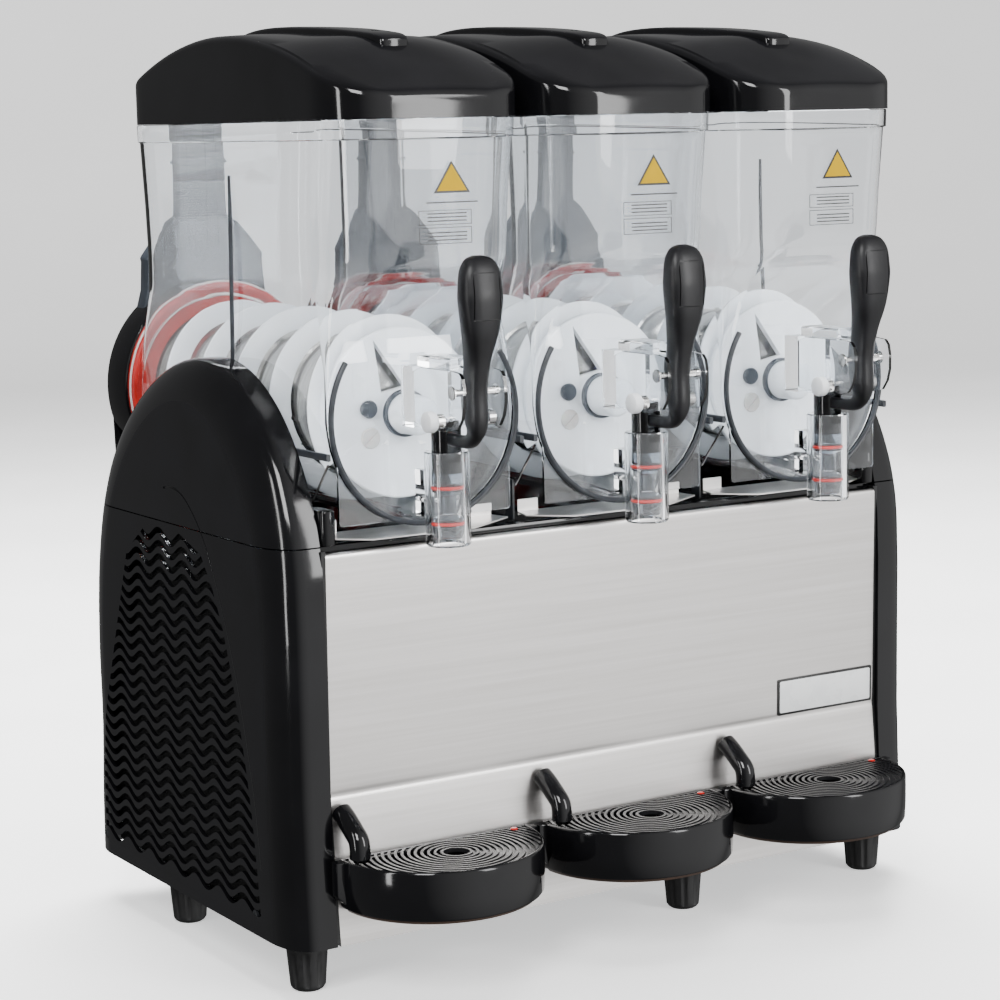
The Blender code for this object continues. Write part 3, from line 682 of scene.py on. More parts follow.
def fin_rows():
    """Thin upright plates side by side: a condenser's fins."""
    tree, given = new_tree("fin_rows", (
        ("Count", "NodeSocketInt", 64), ("Pitch", "NodeSocketFloat", 0.0033),
        ("Fin Size", "NodeSocketVector", (0.03, 0.0005, 0.24))))
    step = add_node(tree, "ShaderNodeCombineXYZ", links={"Y": given["Pitch"]})
    points = add_node(tree, "GeometryNodeMeshLine",
                      links={"Count": given["Count"], "Offset": step.outputs[0]})
    fin = add_node(tree, "GeometryNodeMeshCube", links={"Size": given["Fin Size"]})
    copies = add_node(tree, "GeometryNodeInstanceOnPoints", links={
        "Points": points.outputs["Mesh"], "Instance": fin.outputs["Mesh"]})
    close_tree(tree, given, copies.outputs["Instances"])
    return tree


def screw_heads():
    """A slotted pan head at each of the given points, turned to face along an axis."""
    tree, given = new_tree("screw_heads", (
        ("Radius", "NodeSocketFloat", 0.004), ("Height", "NodeSocketFloat", 0.0024),
        ("Facing", "NodeSocketVector", (0, 0, 0))))
    head = add_node(tree, "GeometryNodeMeshCylinder", {"Vertices": 24},
                    {"Radius": given["Radius"], "Depth": given["Height"]})
    width = math_node(tree, "MULTIPLY", given["Radius"], 0.28)
    length = math_node(tree, "MULTIPLY", given["Radius"], 3.0)
    slot_size = add_node(tree, "ShaderNodeCombineXYZ",
                         links={"X": length, "Y": width, "Z": given["Height"]})
    slot = add_node(tree, "GeometryNodeMeshCube", links={"Size": slot_size.outputs[0]})
    lift = add_node(tree, "ShaderNodeCombineXYZ",
                    links={"Z": math_node(tree, "MULTIPLY", given["Height"], 0.6)})
    raised = add_node(tree, "GeometryNodeTransform", {"Rotation": (0, 0, 0.7)}, {
        "Geometry": slot.outputs["Mesh"], "Translation": lift.outputs[0]})
    cut = add_node(tree, "GeometryNodeMeshBoolean", operation="DIFFERENCE")
    tree.links.new(head.outputs["Mesh"], cut.inputs["Mesh 1"])
    tree.links.new(raised.outputs["Geometry"], cut.inputs["Mesh 2"])
    copies = add_node(tree, "GeometryNodeInstanceOnPoints", links={
        "Points": given["Geometry"], "Instance": cut.outputs["Mesh"], "Rotation": given["Facing"]})
    close_tree(tree, given, copies.outputs["Instances"])
    return tree


TREES = {}


def repeated(name, maker, tree_maker, points=((0, 0, 0),), **values):
    """Runs a node group over some points and gives the result as a plain mesh object."""
    if tree_maker not in TREES:
        TREES[tree_maker] = tree_maker()
    tree = TREES[tree_maker]
    bm = bmesh.new()
    for point in points:
        bm.verts.new(point)
    mesh = bpy.data.meshes.new(name)
    bm.to_mesh(mesh)
    bm.free()
    made = bpy.data.objects.new(name, mesh)
    bpy.context.scene.collection.objects.link(made)
    run = made.modifiers.new("repeat", "NODES")
    run.node_group = tree
    wanted = {label.replace("_", " ").title(): value for label, value in values.items()}
    for item in tree.interface.items_tree:
        if item.in_out == "INPUT" and item.name in wanted:
            run[item.identifier] = wanted[item.name]
        if item.in_out == "INPUT" and item.name == "Material" and maker is not None:
            run[item.identifier] = finish_of(maker)
    return settled(made)


# ---------------------------------------------------------------- side covers

ARCH = ((-0.149, 0.3), (-0.147, 0.372), (-0.12, 0.437), (-0.075, 0.487), (-0.015, 0.515),
        (0.052, 0.515), (0.115, 0.492), (0.172, 0.452), (0.215, 0.4), (0.24, 0.33),
        (0.249, 0.25), (0.247, 0.17), (0.255, 0.1), (0.257, COVER_LOW.z))
COVER_FOOT = ((-0.153, COVER_LOW.z), (-0.15, 0.105), (-0.148, 0.167), (-0.1484, 0.235))
COVER_DEPTH = COVER_HIGH.x - COVER_LOW.x
COVER_INNER = -COVER_HIGH.x
SHOULDER = 0.0235         # width of the rounded band, from the flat face inwards
SHOULDER_DROP = 0.04     # how far the outline draws in over that band
COVER_MIDDLE = 0.05      # place across the arch that its outline draws in towards
COVER_HALF, COVER_TALL = 0.2, 0.46
SEAM = COVER_HIGH.z


def cover_rings(sign, inset):
    """Rings of a cover's skin, from its open inner edge out to the flat face."""
    outline = list(COVER_FOOT) + softened(ARCH, 3)
    flat = COVER_DEPTH - SHOULDER
    depths = [0.0, flat] + [flat + SHOULDER * math.sin(math.radians(a)) for a in range(10, 91, 8)]
    rings = []
    for depth in depths:
        t = max(depth - flat, 0) / SHOULDER
        shrink = SHOULDER_DROP * (1 - math.sqrt(max(1 - t * t, 0))) + inset
        rings.append([(sign * (COVER_INNER + min(depth, COVER_DEPTH - inset)),
                       COVER_MIDDLE + (y - COVER_MIDDLE) * (1 - shrink / COVER_HALF),
                       COVER_LOW.z + (z - COVER_LOW.z) * (1 - shrink / COVER_TALL))
                      for y, z in outline])
    return rings


def vent_cutter(sign):
    """The wavy slots, kept to the leaning field that the cover gives them."""
    s = sizes()
    bars = repeated("vents", None, wave_rows, rows=s.vent_rows, pitch=s.vent_pitch,
                    slot=s.vent_slot, wave_length=s.wave_length, wave_height=s.wave_height,
                    length=0.36, depth=0.016)
    bars.data.transform(Matrix.Translation((sign * COVER_HIGH.x * -1.14, 0.068, 0.0665)))
    field = ((0.226, 0.056), (0.224, 0.149), (0.185, 0.249), (0.138, 0.366), (0.006, 0.366),
             (-0.035, 0.312), (-0.06, 0.244), (-0.081, 0.16), (-0.089, 0.105), (-0.094, 0.056))
    bm = prism(softened(field, 1), "X", *sorted((sign * 0.31, sign * 0.345)))
    return combined(bars, new_piece("field", bm, None), "INTERSECT")


def face_groove(sign):
    """The moulded line that starts above the seam and runs down in front of the vents."""
    line = ((0.066, 0.402), (0.046, 0.404), (0.022, 0.396), (-0.009, 0.368), (-0.038, 0.318),
            (-0.066, 0.248), (-0.088, 0.165), (-0.0975, 0.1))
    path = [(sign * (COVER_INNER + COVER_DEPTH + 0.0001), y, z) for y, z in through(line, 6)]
    return tube(path, 0.0009, 8)


def add_side_cover(side, sign):
    """One side of the body: a hollow arch in two halves, the lower one with its vents."""
    reach = 0.4
    vents = vent_cutter(sign)
    for part in ("upper", "vent"):
        cover = new_piece(f"{side}_{part}_arch_cover", loft(cover_rings(sign, 0.0)), gloss_abs)
        hollow = cover_rings(sign, 0.0035)
        mouth = [(x - sign * 0.01, y, z) for x, y, z in hollow[0]]
        lowered = [[(x, y, z - (0.002 if z < COVER_LOW.z + 0.001 else 0)) for x, y, z in ring]
                   for ring in [mouth, *hollow]]
        carved(cover, loft(lowered))
        if part == "upper":
            carved(cover, block((-reach, -reach, -0.1), (reach, reach, SEAM + 0.0008)))
        else:
            carved(cover, block((-reach, -reach, SEAM - 0.0003), (reach, reach, 1.0)))
            combined(cover, vents, "DIFFERENCE")
        carved(cover, face_groove(sign))
        cover.data.materials.clear()
        cover.data.materials.append(finish_of(gloss_abs))
        cover.data.materials.append(finish_of(grained_abs))
        for face in cover.data.polygons:
            outer = sign * face.center.x > COVER_INNER + COVER_DEPTH - 0.0002
            face.material_index = 1 if outer and abs(face.normal.x) > 0.98 else 0
        mounted(cover, "root", "gloss_black", f"{side}_{part}_cover", angle=30)
    # Painted shade: a thin matt black sheet just inside the vent slots, so that the view through
    # them stays dark.
    field = ((-0.118, 0.05), (0.238, 0.05), (0.234, 0.25), (0.2, 0.352), (0.16, 0.368),
             (-0.06, 0.368), (-0.11, 0.3))
    shade_sheet = prism(field, "X", *sorted((sign * 0.306, sign * 0.307)))
    mounted(new_piece(f"{side}_vent_filter", shade_sheet, foot_rubber), "root", "matt_black")
    # Painted shade: a matt black strip along the front sheet's side edge, standing for the shade in
    # the gap between sheet and cover.
    face = [(-0.1466, 0.369), (-0.1453, 0.29), (FOLD_Y, FOLD_Z), (-0.145, 0.14), (-0.1526, 0.045),
            (-0.1375, 0.045), (-0.136, 0.369)]
    shade_strip = prism(face, "X", *sorted((sign * 0.2843, sign * 0.2882)))
    mounted(new_piece(f"{side}_edge_filler", shade_strip, foot_rubber), "root", "matt_black")
    screws = repeated(f"{side}_cover_screws", painted_steel, screw_heads,
                      points=[(sign * (COVER_INNER + COVER_DEPTH - 0.0012), y, 0.06)
                              for y in (-0.082, 0.224)],
                      radius=0.0042, height=0.0022, facing=(0, sign * math.pi / 2, 0))
    mounted(screws, "root", "dark_steel")
    post = prism(rounded((-0.0068, -0.0165), (0.0068, 0.0165), 0.0062), "Z",
                 DECK_HIGH.z + 0.0006, 0.401)
    post = new_piece(f"{side}_corner_post", post, gloss_abs, 0.0012)
    post.data.transform(Matrix.Translation((sign * 0.279, -0.13, 0)))
    mounted(post, "root", "gloss_black")


# ---------------------------------------------------------------- body front, deck and feet

def add_front_panel():
    """Folded stainless sheet with a rolled top edge, and a blank badge."""
    sheet = 0.0012
    roll = 0.0034
    hem = (-0.147 + roll, PANEL_HIGH.z - roll)
    bend = through(((-0.1455, 0.29), (FOLD_Y - 0.0006, FOLD_Z + 0.016), (FOLD_Y, FOLD_Z),
                    (FOLD_Y - 0.0012, FOLD_Z - 0.014),
                    (PANEL_LOW.y + 0.0008, PANEL_LOW.z + 0.01)), 4)
    face = [(-0.147, hem[1] - 0.002)] + bend + [(PANEL_LOW.y, PANEL_LOW.z + 0.002)]
    outer = arc(hem, roll, -30, 180, 14) + face + [(PANEL_LOW.y, PANEL_LOW.z)]
    lip = [(PANEL_LOW.y + 0.012, PANEL_LOW.z), (PANEL_LOW.y + 0.012, PANEL_LOW.z + sheet)]
    inner = [(y + sheet, z + (sheet if z < 0.05 else 0)) for y, z in reversed(face)]
    panel = prism(outer + lip + inner, "X", PANEL_LOW.x, PANEL_HIGH.x)
    panel = new_piece("front_sheet", panel, brushed_steel)
    mounted(panel, "root", "stainless", "front_panel", angle=50)
    badge_x, badge_z = (0.1735, 0.2825), (0.169, 0.2025)
    badge_middle = 0.1857
    lean = math.atan2(0.004, PANEL_HIGH.z - FOLD_Z)
    for name, maker, inset, thickness in (("badge_border", black_vinyl, 0.0, 0.0009),
                                          ("badge_face", badge_enamel, 0.0022, 0.0013)):
        outline = rounded((badge_x[0] + inset, badge_z[0] + inset - badge_middle),
                          (badge_x[1] - inset, badge_z[1] - inset - badge_middle), 0.0015, 3)
        plate = new_piece(name, prism(outline, "Y", -thickness, 0.0002), maker, 0.0002, 2)
        plate.data.transform(Matrix.Translation((0, -0.1437, badge_middle))
                             @ Matrix.Rotation(lean, 4, "X"))
        mounted(plate, "root", "stainless")


def add_deck():
    """Black top of the body with a shallow gutter under each bowl, and the bent steel lips."""
    deck = new_piece("deck_top", block(DECK_LOW, DECK_HIGH), gloss_abs)
    for name in STATIONS:
        middle = CENTRE[name]
        gutter = prism(rounded((middle - 0.06, -0.12), (middle + 0.06, 0.19), 0.02),
                       "Z", DECK_HIGH.z - 0.004, DECK_HIGH.z + 0.01)
        carved(deck, gutter)
    rounding = deck.modifiers.new("rounding", "BEVEL")
    rounding.width = 0.001
    rounding.segments = 2
    settled(deck)
    mounted(deck, "root", "gloss_black", "deck")
    middle = CENTRE["middle"]
    outline = [(middle - 0.084, -0.118), (middle - 0.084, -0.131), (middle - 0.046, -0.149),
               (middle + 0.05, -0.149), (middle + 0.094, -0.13), (middle + 0.084, -0.118)]
    level, slope, sheet = 0.379, 0.12, 0.0012
    rows = [[(x, y, level + (y - outline[0][1]) * slope - drop) for x, y in outline]
            for drop in (0.0, sheet)]
    lip = new_piece("drip_lip", loft(rows), brushed_steel)
    for low, high in ((-0.084, -0.064), (0.064, 0.084)):
        tab = block((middle + low, -0.1192, 0.376), (middle + high, -0.118, 0.389))
        welded(lip, tab)
    at_stations(lip, "root", "stainless")


def add_feet():
    """Fluted rubber feet that taper to a chamfered sole."""
    nodes = [f"{a}_{b}_foot" for a in STATIONS for b in ("front", "rear")]
    for node in nodes:
        low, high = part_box(node)
        centre = (low + high) / 2
        top, sole = (high.x - low.x) / 2, (high.x - low.x) / 2 - 0.0035
        rings = []
        for share, size, flute in ((0.0, 0.78, 0.0), (0.03, 0.9, 0.0), (0.08, 1.0, 0.2),
                                   (0.14, 1.0, 1.0), (0.5, 1.0, 1.0), (0.76, 1.0, 1.0),
                                   (0.8, 1.0, 0.0), (0.84, 1.06, 0.0), (1.0, 1.04, 0.0)):
            radius = (sole + (top - sole) * share) * min(size, 1.0)
            ring = []
            for i in range(72):
                turn = 2 * math.pi * i / 72
                wave = max(0.0, math.cos(9 * turn)) ** 0.6
                reach = radius - 0.0013 * flute * wave
                ring.append((centre.x + reach * math.cos(turn), centre.y + reach * math.sin(turn),
                             low.z + (high.z - low.z) * share))
            rings.append(ring)
        mounted(new_piece(f"{node}_moulding", loft(rings), foot_rubber), "root",
                "foot_rubber", node, angle=40)


def add_cooling_unit():
    """Condenser with its fins and pipes; the other works keep their frame shapes."""
    low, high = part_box("condenser")
    middle = (low.x + high.x) / 2
    count = sizes().fin_count
    pitch = (high.y - low.y - 0.006) / (count - 1)
    fins = repeated("condenser_fins", fin_stock, fin_rows, count=count, pitch=pitch,
                    fin_size=(high.x - low.x - 0.006, 0.0006, high.z - low.z - 0.006))
    fins.data.transform(Matrix.Translation((middle, low.y + 0.003, (low.z + high.z) / 2)))
    mounted(fins, "root", "fin_aluminium")
    shroud = new_piece("condenser_shroud", block(low, high), zinc_sheet)
    carved(shroud, block((low.x - 0.01, low.y + 0.002, low.z + 0.002),
                         (high.x + 0.01, high.y - 0.002, high.z - 0.002)))
    mounted(shroud, "root", "galvanised", "condenser")
    bm = bmesh.new()
    rows, pipe_radius = 9, 0.004
    for i in range(rows):
        z = low.z + 0.012 + (high.z - low.z - 0.024) * i / (rows - 1)
        tube([(middle, low.y + 0.001, z), (middle, high.y - 0.001, z)], pipe_radius, 12, bm)
    mounted(new_piece("condenser_pipes", bm, wire_steel), "root", "fin_aluminium")


# ---------------------------------------------------------------- bowls, lids

def bowl_levels(inset):
    """Heights of a bowl with the half width, the front and the corner radius there."""
    radius = BOWL_RADIUS - inset
    levels = []
    for angle in range(84, 0, -7):
        turn = math.radians(angle)
        levels.append((AXIS_Z - radius * math.sin(turn), radius * math.cos(turn),
                       BOWL_FRONT, 0.004))
    marks = ((AXIS_Z, radius, BOWL_FRONT, 0.006), (0.515, radius - 0.002, BOWL_FRONT, 0.01),
             (0.55, radius - 0.0045, BOWL_FRONT - 0.0002, 0.02),
             (0.572, radius - 0.0052, BOWL_FRONT - 0.006, 0.03),
             (0.588, radius - 0.0055, BOX_FRONT + 0.012, 0.041),
             (0.5975, radius - 0.0055, BOX_FRONT + 0.003, 0.048),
             (0.61, radius - 0.0053, BOX_FRONT, FRONT_CORNER),
             (0.64, radius - 0.0045, BOX_FRONT - 0.0015, FRONT_CORNER))
    return levels + through(marks, 4)


def bowl_ring(level, inset):
    """One level of a bowl: wide round corners in front, smaller ones at the back."""
    z, half, front, corner = level
    front, back = front + inset, BOWL_BACK - inset
    near = max(min(corner, half * 0.9) - inset, 0.002)
    far = min(near, BACK_CORNER)
    points = arc((near - half, front + near), near, 180, 270, 10)
    points += arc((half - near, front + near), near, 270, 360, 10)
    points += arc((half - far, back - far), far, 0, 90, 6)
    points += arc((far - half, back - far), far, 90, 180, 6)
    return [(x, y, z) for x, y in points]


def bowl_shell():
    """Outer and inner skins of a bowl, joined over its rim."""
    radius = BOWL_RADIUS
    outside = [bowl_ring(level, 0.0) for level in bowl_levels(0.0)]
    rim = ((0.6945, radius - 0.002, RIM_FRONT + 0.0015, FRONT_CORNER),
           (0.6955, radius, RIM_FRONT, FRONT_CORNER),
           (BOWL_TOP - 0.0006, radius + 0.0004, RIM_FRONT, FRONT_CORNER),
           (BOWL_TOP, radius - 0.0002, RIM_FRONT + 0.0006, FRONT_CORNER))
    outside += [bowl_ring(level, 0.0) for level in rim]
    inner = radius - WALL
    inside = [bowl_ring(level, WALL) for level in bowl_levels(WALL)]
    inside += [bowl_ring(level, WALL) for level in (
        (0.6945, inner - 0.002, RIM_FRONT + 0.001, FRONT_CORNER),
        (BOWL_TOP - 0.0004, inner - 0.0012, RIM_FRONT + 0.0006, FRONT_CORNER),
        (BOWL_TOP, inner - 0.0008, RIM_FRONT + 0.0002, FRONT_CORNER))]
    return outside + inside[::-1]


def add_bowls():
    """Clear bowl with its apron, tap block and nozzle in one moulding, and its trim."""
    bowl = new_piece("clear_bowl", loft(bowl_shell()), polycarbonate)
    rear = round_bowl([(BOWL_RADIUS - WALL, 0.196), (BOWL_RADIUS - WALL, 0.215)])
    carved(bowl, rear)
    apron = prism(rounded((-0.0805, 0.389), (0.0805, AXIS_Z - 0.01), 0.003, 3), "Y",
                  BOWL_FRONT, BOWL_FRONT + WALL - 0.0002)
    welded(bowl, apron)
    boss = block((-CHEEK_OUTER, -0.1745, 0.466), (CHEEK_OUTER, BOWL_FRONT + 0.001, 0.515))
    welded(bowl, boss)
    cheek = softened(((-0.17, 0.49), (-0.17, 0.4665), (-0.239, 0.4665), (-0.2515, 0.483),
                      (-0.2515, 0.508), (-0.244, 0.516), (-0.17, 0.516), (-0.17, 0.49)), 1)[:-1]
    for low, high in ((-CHEEK_OUTER, -CHEEK_INNER), (CHEEK_INNER, CHEEK_OUTER)):
        welded(bowl, prism(cheek, "X", low, high))
    welded(bowl, prism(rounded((-0.013, 0.5135), (0.013, 0.5235), 0.002, 3), "Y",
                       -0.22, -0.17))
    nozzle = round_tap([(TAP_RADIUS - 0.001, BOWL_LOW.z), (TAP_RADIUS, BOWL_LOW.z + 0.0015),
                                  (TAP_RADIUS, 0.4462), (TAP_RADIUS - 0.001, 0.447)])
    welded(bowl, nozzle)
    neck = block((-0.01, TAP_Y + 0.01, 0.392), (0.01, BOWL_FRONT + 0.0015, 0.43))
    welded(bowl, neck)
    carved(bowl, round_tap([(0.0137, 0.36), (0.0137, 0.46)]))
    carved(bowl, turned([(0.007, TAP_Y), (0.007, BOWL_FRONT + 0.008)], "Y", (0, 0.41), 24))
    carved(bowl, turned([(0.0036, -0.03), (0.0036, 0.03)], "X", (PIVOT_Y, PIVOT_Z), 24))
    at_stations(bowl, "bowl", "clear_bowl", "bowl", angle=28)
    ring_radius = 0.0866
    ring = [(x, -0.158, z) for x, z in arc((0, AXIS_Z), ring_radius, 146, 394, 62)]
    at_stations(new_piece("front_ring", tube(ring, 0.0024, 12), nitrile), "bowl", "matt_black")
    bm = bmesh.new()
    for low, high in ((-0.0925, -0.0889), (0.0889, 0.0925)):
        prism(rounded((low, 0.443), (high, 0.449), 0.0012, 3), "Y", -0.16, -0.04, bm)
    at_stations(new_piece("edge_trim", bm, nitrile), "bowl", "matt_black")
    for name, sign in (("left", -1), ("right", 1)):
        top, foot, spread = 0.667, 0.501, 0.0036
        path = [(sign * (BOWL_RADIUS - 0.0042 + spread * (top - z) / (top - foot)), 0.012, z)
                for z in (top, 0.62, 0.57, 0.53, foot)]
        seam = new_piece("side_seam", tube(path, 0.0018, 10), nitrile)
        at_stations(seam, "bowl", "matt_black", names=(name,))


def add_labels():
    """Blank printed marks on the bowls: a triangle, a level line and two plain panels."""
    front = BOX_FRONT - 0.0042
    marks = (("mark_edge", black_vinyl,
              [(-0.0083, 0.6518), (0.0251, 0.6518), (0.0084, 0.6772)], 0.0),
             ("mark_face", yellow_vinyl,
              [(-0.0053, 0.6535), (0.0221, 0.6535), (0.0084, 0.6744)], 0.0002),
             ("level_line", black_vinyl, [(-0.015, 0.644), (0.032, 0.644), (0.032, 0.645),
                                          (-0.015, 0.645)], 0.0))
    for name, maker, outline, lift in marks:
        bm = prism(outline, "Y", front - 0.0003 - lift, front)
        at_stations(new_piece(name, bm, maker), "bowl", "white_plastic")
    for name, low, high in (("upper_label", 0.627, 0.6385), ("lower_label", 0.612, 0.625)):
        border = block((-0.0225, front - 0.0002, low), (0.026, front, high))
        label = new_piece(f"{name}_border", border, black_vinyl)
        carved(label, block((-0.022, front - 0.01, low + 0.0005),
                            (0.0255, front + 0.01, high - 0.0005)))
        for step in range(3):
            z = low + 0.0026 + 0.0029 * step
            welded(label, block((-0.0145, front - 0.0002, z), (0.0215, front, z + 0.0009)))
        at_stations(label, "bowl", "white_plastic")


def lid_height(y, x=0.0):
    """Top of a lid: one long arc along it, crowned across, highest in front of the grip."""
    crown = 0.003 + 0.01 * math.exp(-((y + 0.112) / 0.048) ** 2)
    dish = 0.0018 * math.exp(-((y + 0.14) ** 2 + x * x) / 0.014 ** 2)
    return LID_HIGH.z - 0.0095 - (y - 0.02) ** 2 / 0.88 + crown * (1 - (x / 0.09) ** 2) - dish


def lid_ring(y, inset, bottom):
    """Cross-section of a lid at one place along its length."""
    front, back, edge_radius = LID_LOW.y + inset, LID_HIGH.y - inset, 0.0055
    half = LID_HALF - inset
    for edge, corner in ((max(y - front, 0.0), FRONT_CORNER),
                         (max(back - y, 0.0), LID_BACK_CORNER)):
        if edge < corner:
            half -= corner - math.sqrt(max(corner ** 2 - (corner - edge) ** 2, 0.0))
    drop = 0.0
    edge = max(min(y - front, back - y), 0.0)
    if edge < edge_radius:
        drop = edge_radius - math.sqrt(max(edge_radius ** 2 - (edge_radius - edge) ** 2, 0.0))
    side = half - edge_radius
    points = [(-half, y, bottom), (half, y, bottom)]
    side_top = lid_height(y, half) - inset - drop - edge_radius
    for x, z in arc((side, side_top), edge_radius, 0, 80, 5):
        points.append((x, y, z))
    for i in range(13):
        x = side * (1 - i / 6)
        points.append((x, y, lid_height(y, x) - inset - drop))
    for x, z in arc((-side, side_top), edge_radius, 100, 180, 5):
        points.append((x, y, z))
    return points


def lid_places(inset):
    """Places along a lid, close together at its rounded ends."""
    front, back = LID_LOW.y + inset, LID_HIGH.y - inset
    angles = (6, 12, 20, 28, 36, 45, 54, 63, 72, 81, 90)
    near = [front + FRONT_CORNER * (1 - math.cos(math.radians(a))) for a in angles]
    far = [back - LID_BACK_CORNER * (1 - math.cos(math.radians(a))) for a in reversed(angles)]
    count = 34
    return near + [near[-1] + (far[0] - near[-1]) * i / count for i in range(1, count)] + far


def add_lids():
    """Gloss lid with its long raised grip."""
    bottom = LID_LOW.z
    lid = new_piece("arched_lid", loft([lid_ring(y, 0.0, bottom) for y in lid_places(0.0)]),
                    gloss_abs)
    carved(lid, loft([lid_ring(y, 0.003, bottom - 0.01) for y in lid_places(0.003)]))
    stations = through(((-0.1265, 0.0085, 0.7742), (-0.1245, 0.012, 0.7756),
                        (-0.117, 0.015, 0.7785),
                        (-0.1, 0.017, 0.7812), (-0.05, 0.0205, 0.786), (0.000, 0.0235, 0.789),
                        (0.04, 0.025, 0.7905), (0.08, 0.0255, 0.789), (0.11, 0.0235, 0.7845),
                        (0.132, 0.019, 0.778), (0.14, 0.012, 0.774)), 4)
    rings = []
    floor, rounding = 0.75, 0.0025
    for y, half, top in stations:
        shoulder = top - rounding - 0.0005
        ring = [(-half, floor), (half, floor)]
        ring += arc((half - rounding, shoulder), rounding, 0, 85, 4)
        ring += [(half * 0.4, top), (0, top), (-half * 0.4, top)]
        ring += arc((rounding - half, shoulder), rounding, 95, 180, 4)
        rings.append([(x, y, z) for x, z in ring])
    welded(lid, loft(rings))
    hollow = [[(0.0045 * scale * math.cos(t), -0.0905 + 0.0062 * scale * math.sin(t), z)
               for t in (math.radians(a) for a in range(0, 360, 15))]
              for scale, z in ((0.85, 0.7795), (1.0, 0.79))]
    carved(lid, loft(hollow))
    at_stations(lid, "lid", "gloss_black", "lid", angle=38)


# ---------------------------------------------------------------- cold drums, augers, housings

def add_drums():
    """Polished cold drum with a rounded nose, bored for the drive shaft."""
    radius, front, back = 0.058, DRUM_LOW.y, DRUM_HIGH.y
    bore, nose, flange = 0.01, 0.006, 0.068
    profile = [(bore, front)] + arc((radius - nose, front + nose), nose, -90, 0, 6)
    profile += [(radius, BOWL_BACK + 0.0003), (flange, BOWL_BACK + 0.0003), (flange, back),
                (bore, back)]
    at_stations(new_piece("cold_drum", round_bowl(profile, closed=True),
                          drawn_steel), "root", "stainless", "evaporator")


def add_augers():
    """White spiral blade on its drive disc, with a slotted plug, a stud and the nose bearing."""
    turns = sizes().flight_turns
    per_turn = 60
    steps = int(turns * per_turn)
    start, end = 0.196, AUGER_LOW.y + 0.034
    section = ((0.0614, -0.003), (0.064, -0.0026), (0.0785, -0.0016), (0.0798, -0.0008),
               (0.0798, 0.0008), (0.0785, 0.0016), (0.064, 0.0026), (0.0614, 0.003))
    rings = []
    for i in range(steps + 1):
        angle = 2 * math.pi * i / per_turn
        y = start + (end - start) * i / steps
        rings.append([(radius * math.cos(angle), y + side, AXIS_Z + radius * math.sin(angle))
                      for radius, side in section])
    blade = new_piece("spiral_blade", loft(rings), acetal)
    front = -0.1175
    disc = [(0.0085, 0.2245), (0.0085, front + 0.0062), (0.0697, front + 0.0062),
            (0.071, front + 0.005), (0.071, front + 0.0012), (0.0697, front), (0.0185, front),
            (0.0172, front - 0.0012),
            (0.0165, AUGER_LOW.y + 0.0025), (0.0155, AUGER_LOW.y + 0.0008), (0.014, AUGER_LOW.y)]
    disc = new_piece("disc", round_bowl(disc), acetal)
    wedge = [(0.004, AXIS_Z + 0.0215), (-0.0185, AXIS_Z + 0.017), (-0.0245, AXIS_Z + 0.061)]
    carved(disc, prism(wedge, "Y", front - 0.01, front + 0.0072))
    combined(blade, disc, "UNION")
    at_stations(blade, "auger", "white_plastic", "auger", angle=38)
    plug = [(0.0088, front + 0.001), (0.0088, front - 0.001), (0.008, front - 0.0018)]
    place = (-0.0303, AXIS_Z - 0.019)
    plug = new_piece("slotted_plug", turned(plug, "Y", place, 36), clear_silicone)
    slot = block((-0.01, -0.01, -0.0008), (0.01, 0.001, 0.0008))
    slot = new_piece("slot", slot, None)
    slot.data.transform(Matrix.Translation((place[0], front - 0.0018, place[1]))
                        @ Matrix.Rotation(math.radians(-42), 4, "Y"))
    combined(plug, slot, "DIFFERENCE")
    at_stations(plug, "auger", "white_plastic")
    stud = [(0.007, front + 0.001), (0.0075, front - 0.003), (0.0062, front - 0.005)]
    stud = new_piece("drive_stud", turned(stud, "Y", (-0.0314, AXIS_Z + 0.005), 36), smoked_abs)
    at_stations(stud, "auger", "matt_black")
    collar = [(0.0174, front - 0.003), (0.0196, front - 0.0036), (0.0196, front - 0.008),
              (0.0174, front - 0.0086)]
    collar = round_bowl(collar, 48, closed=True)
    at_stations(new_piece("nose_collar", collar, smoked_abs), "auger", "matt_black")


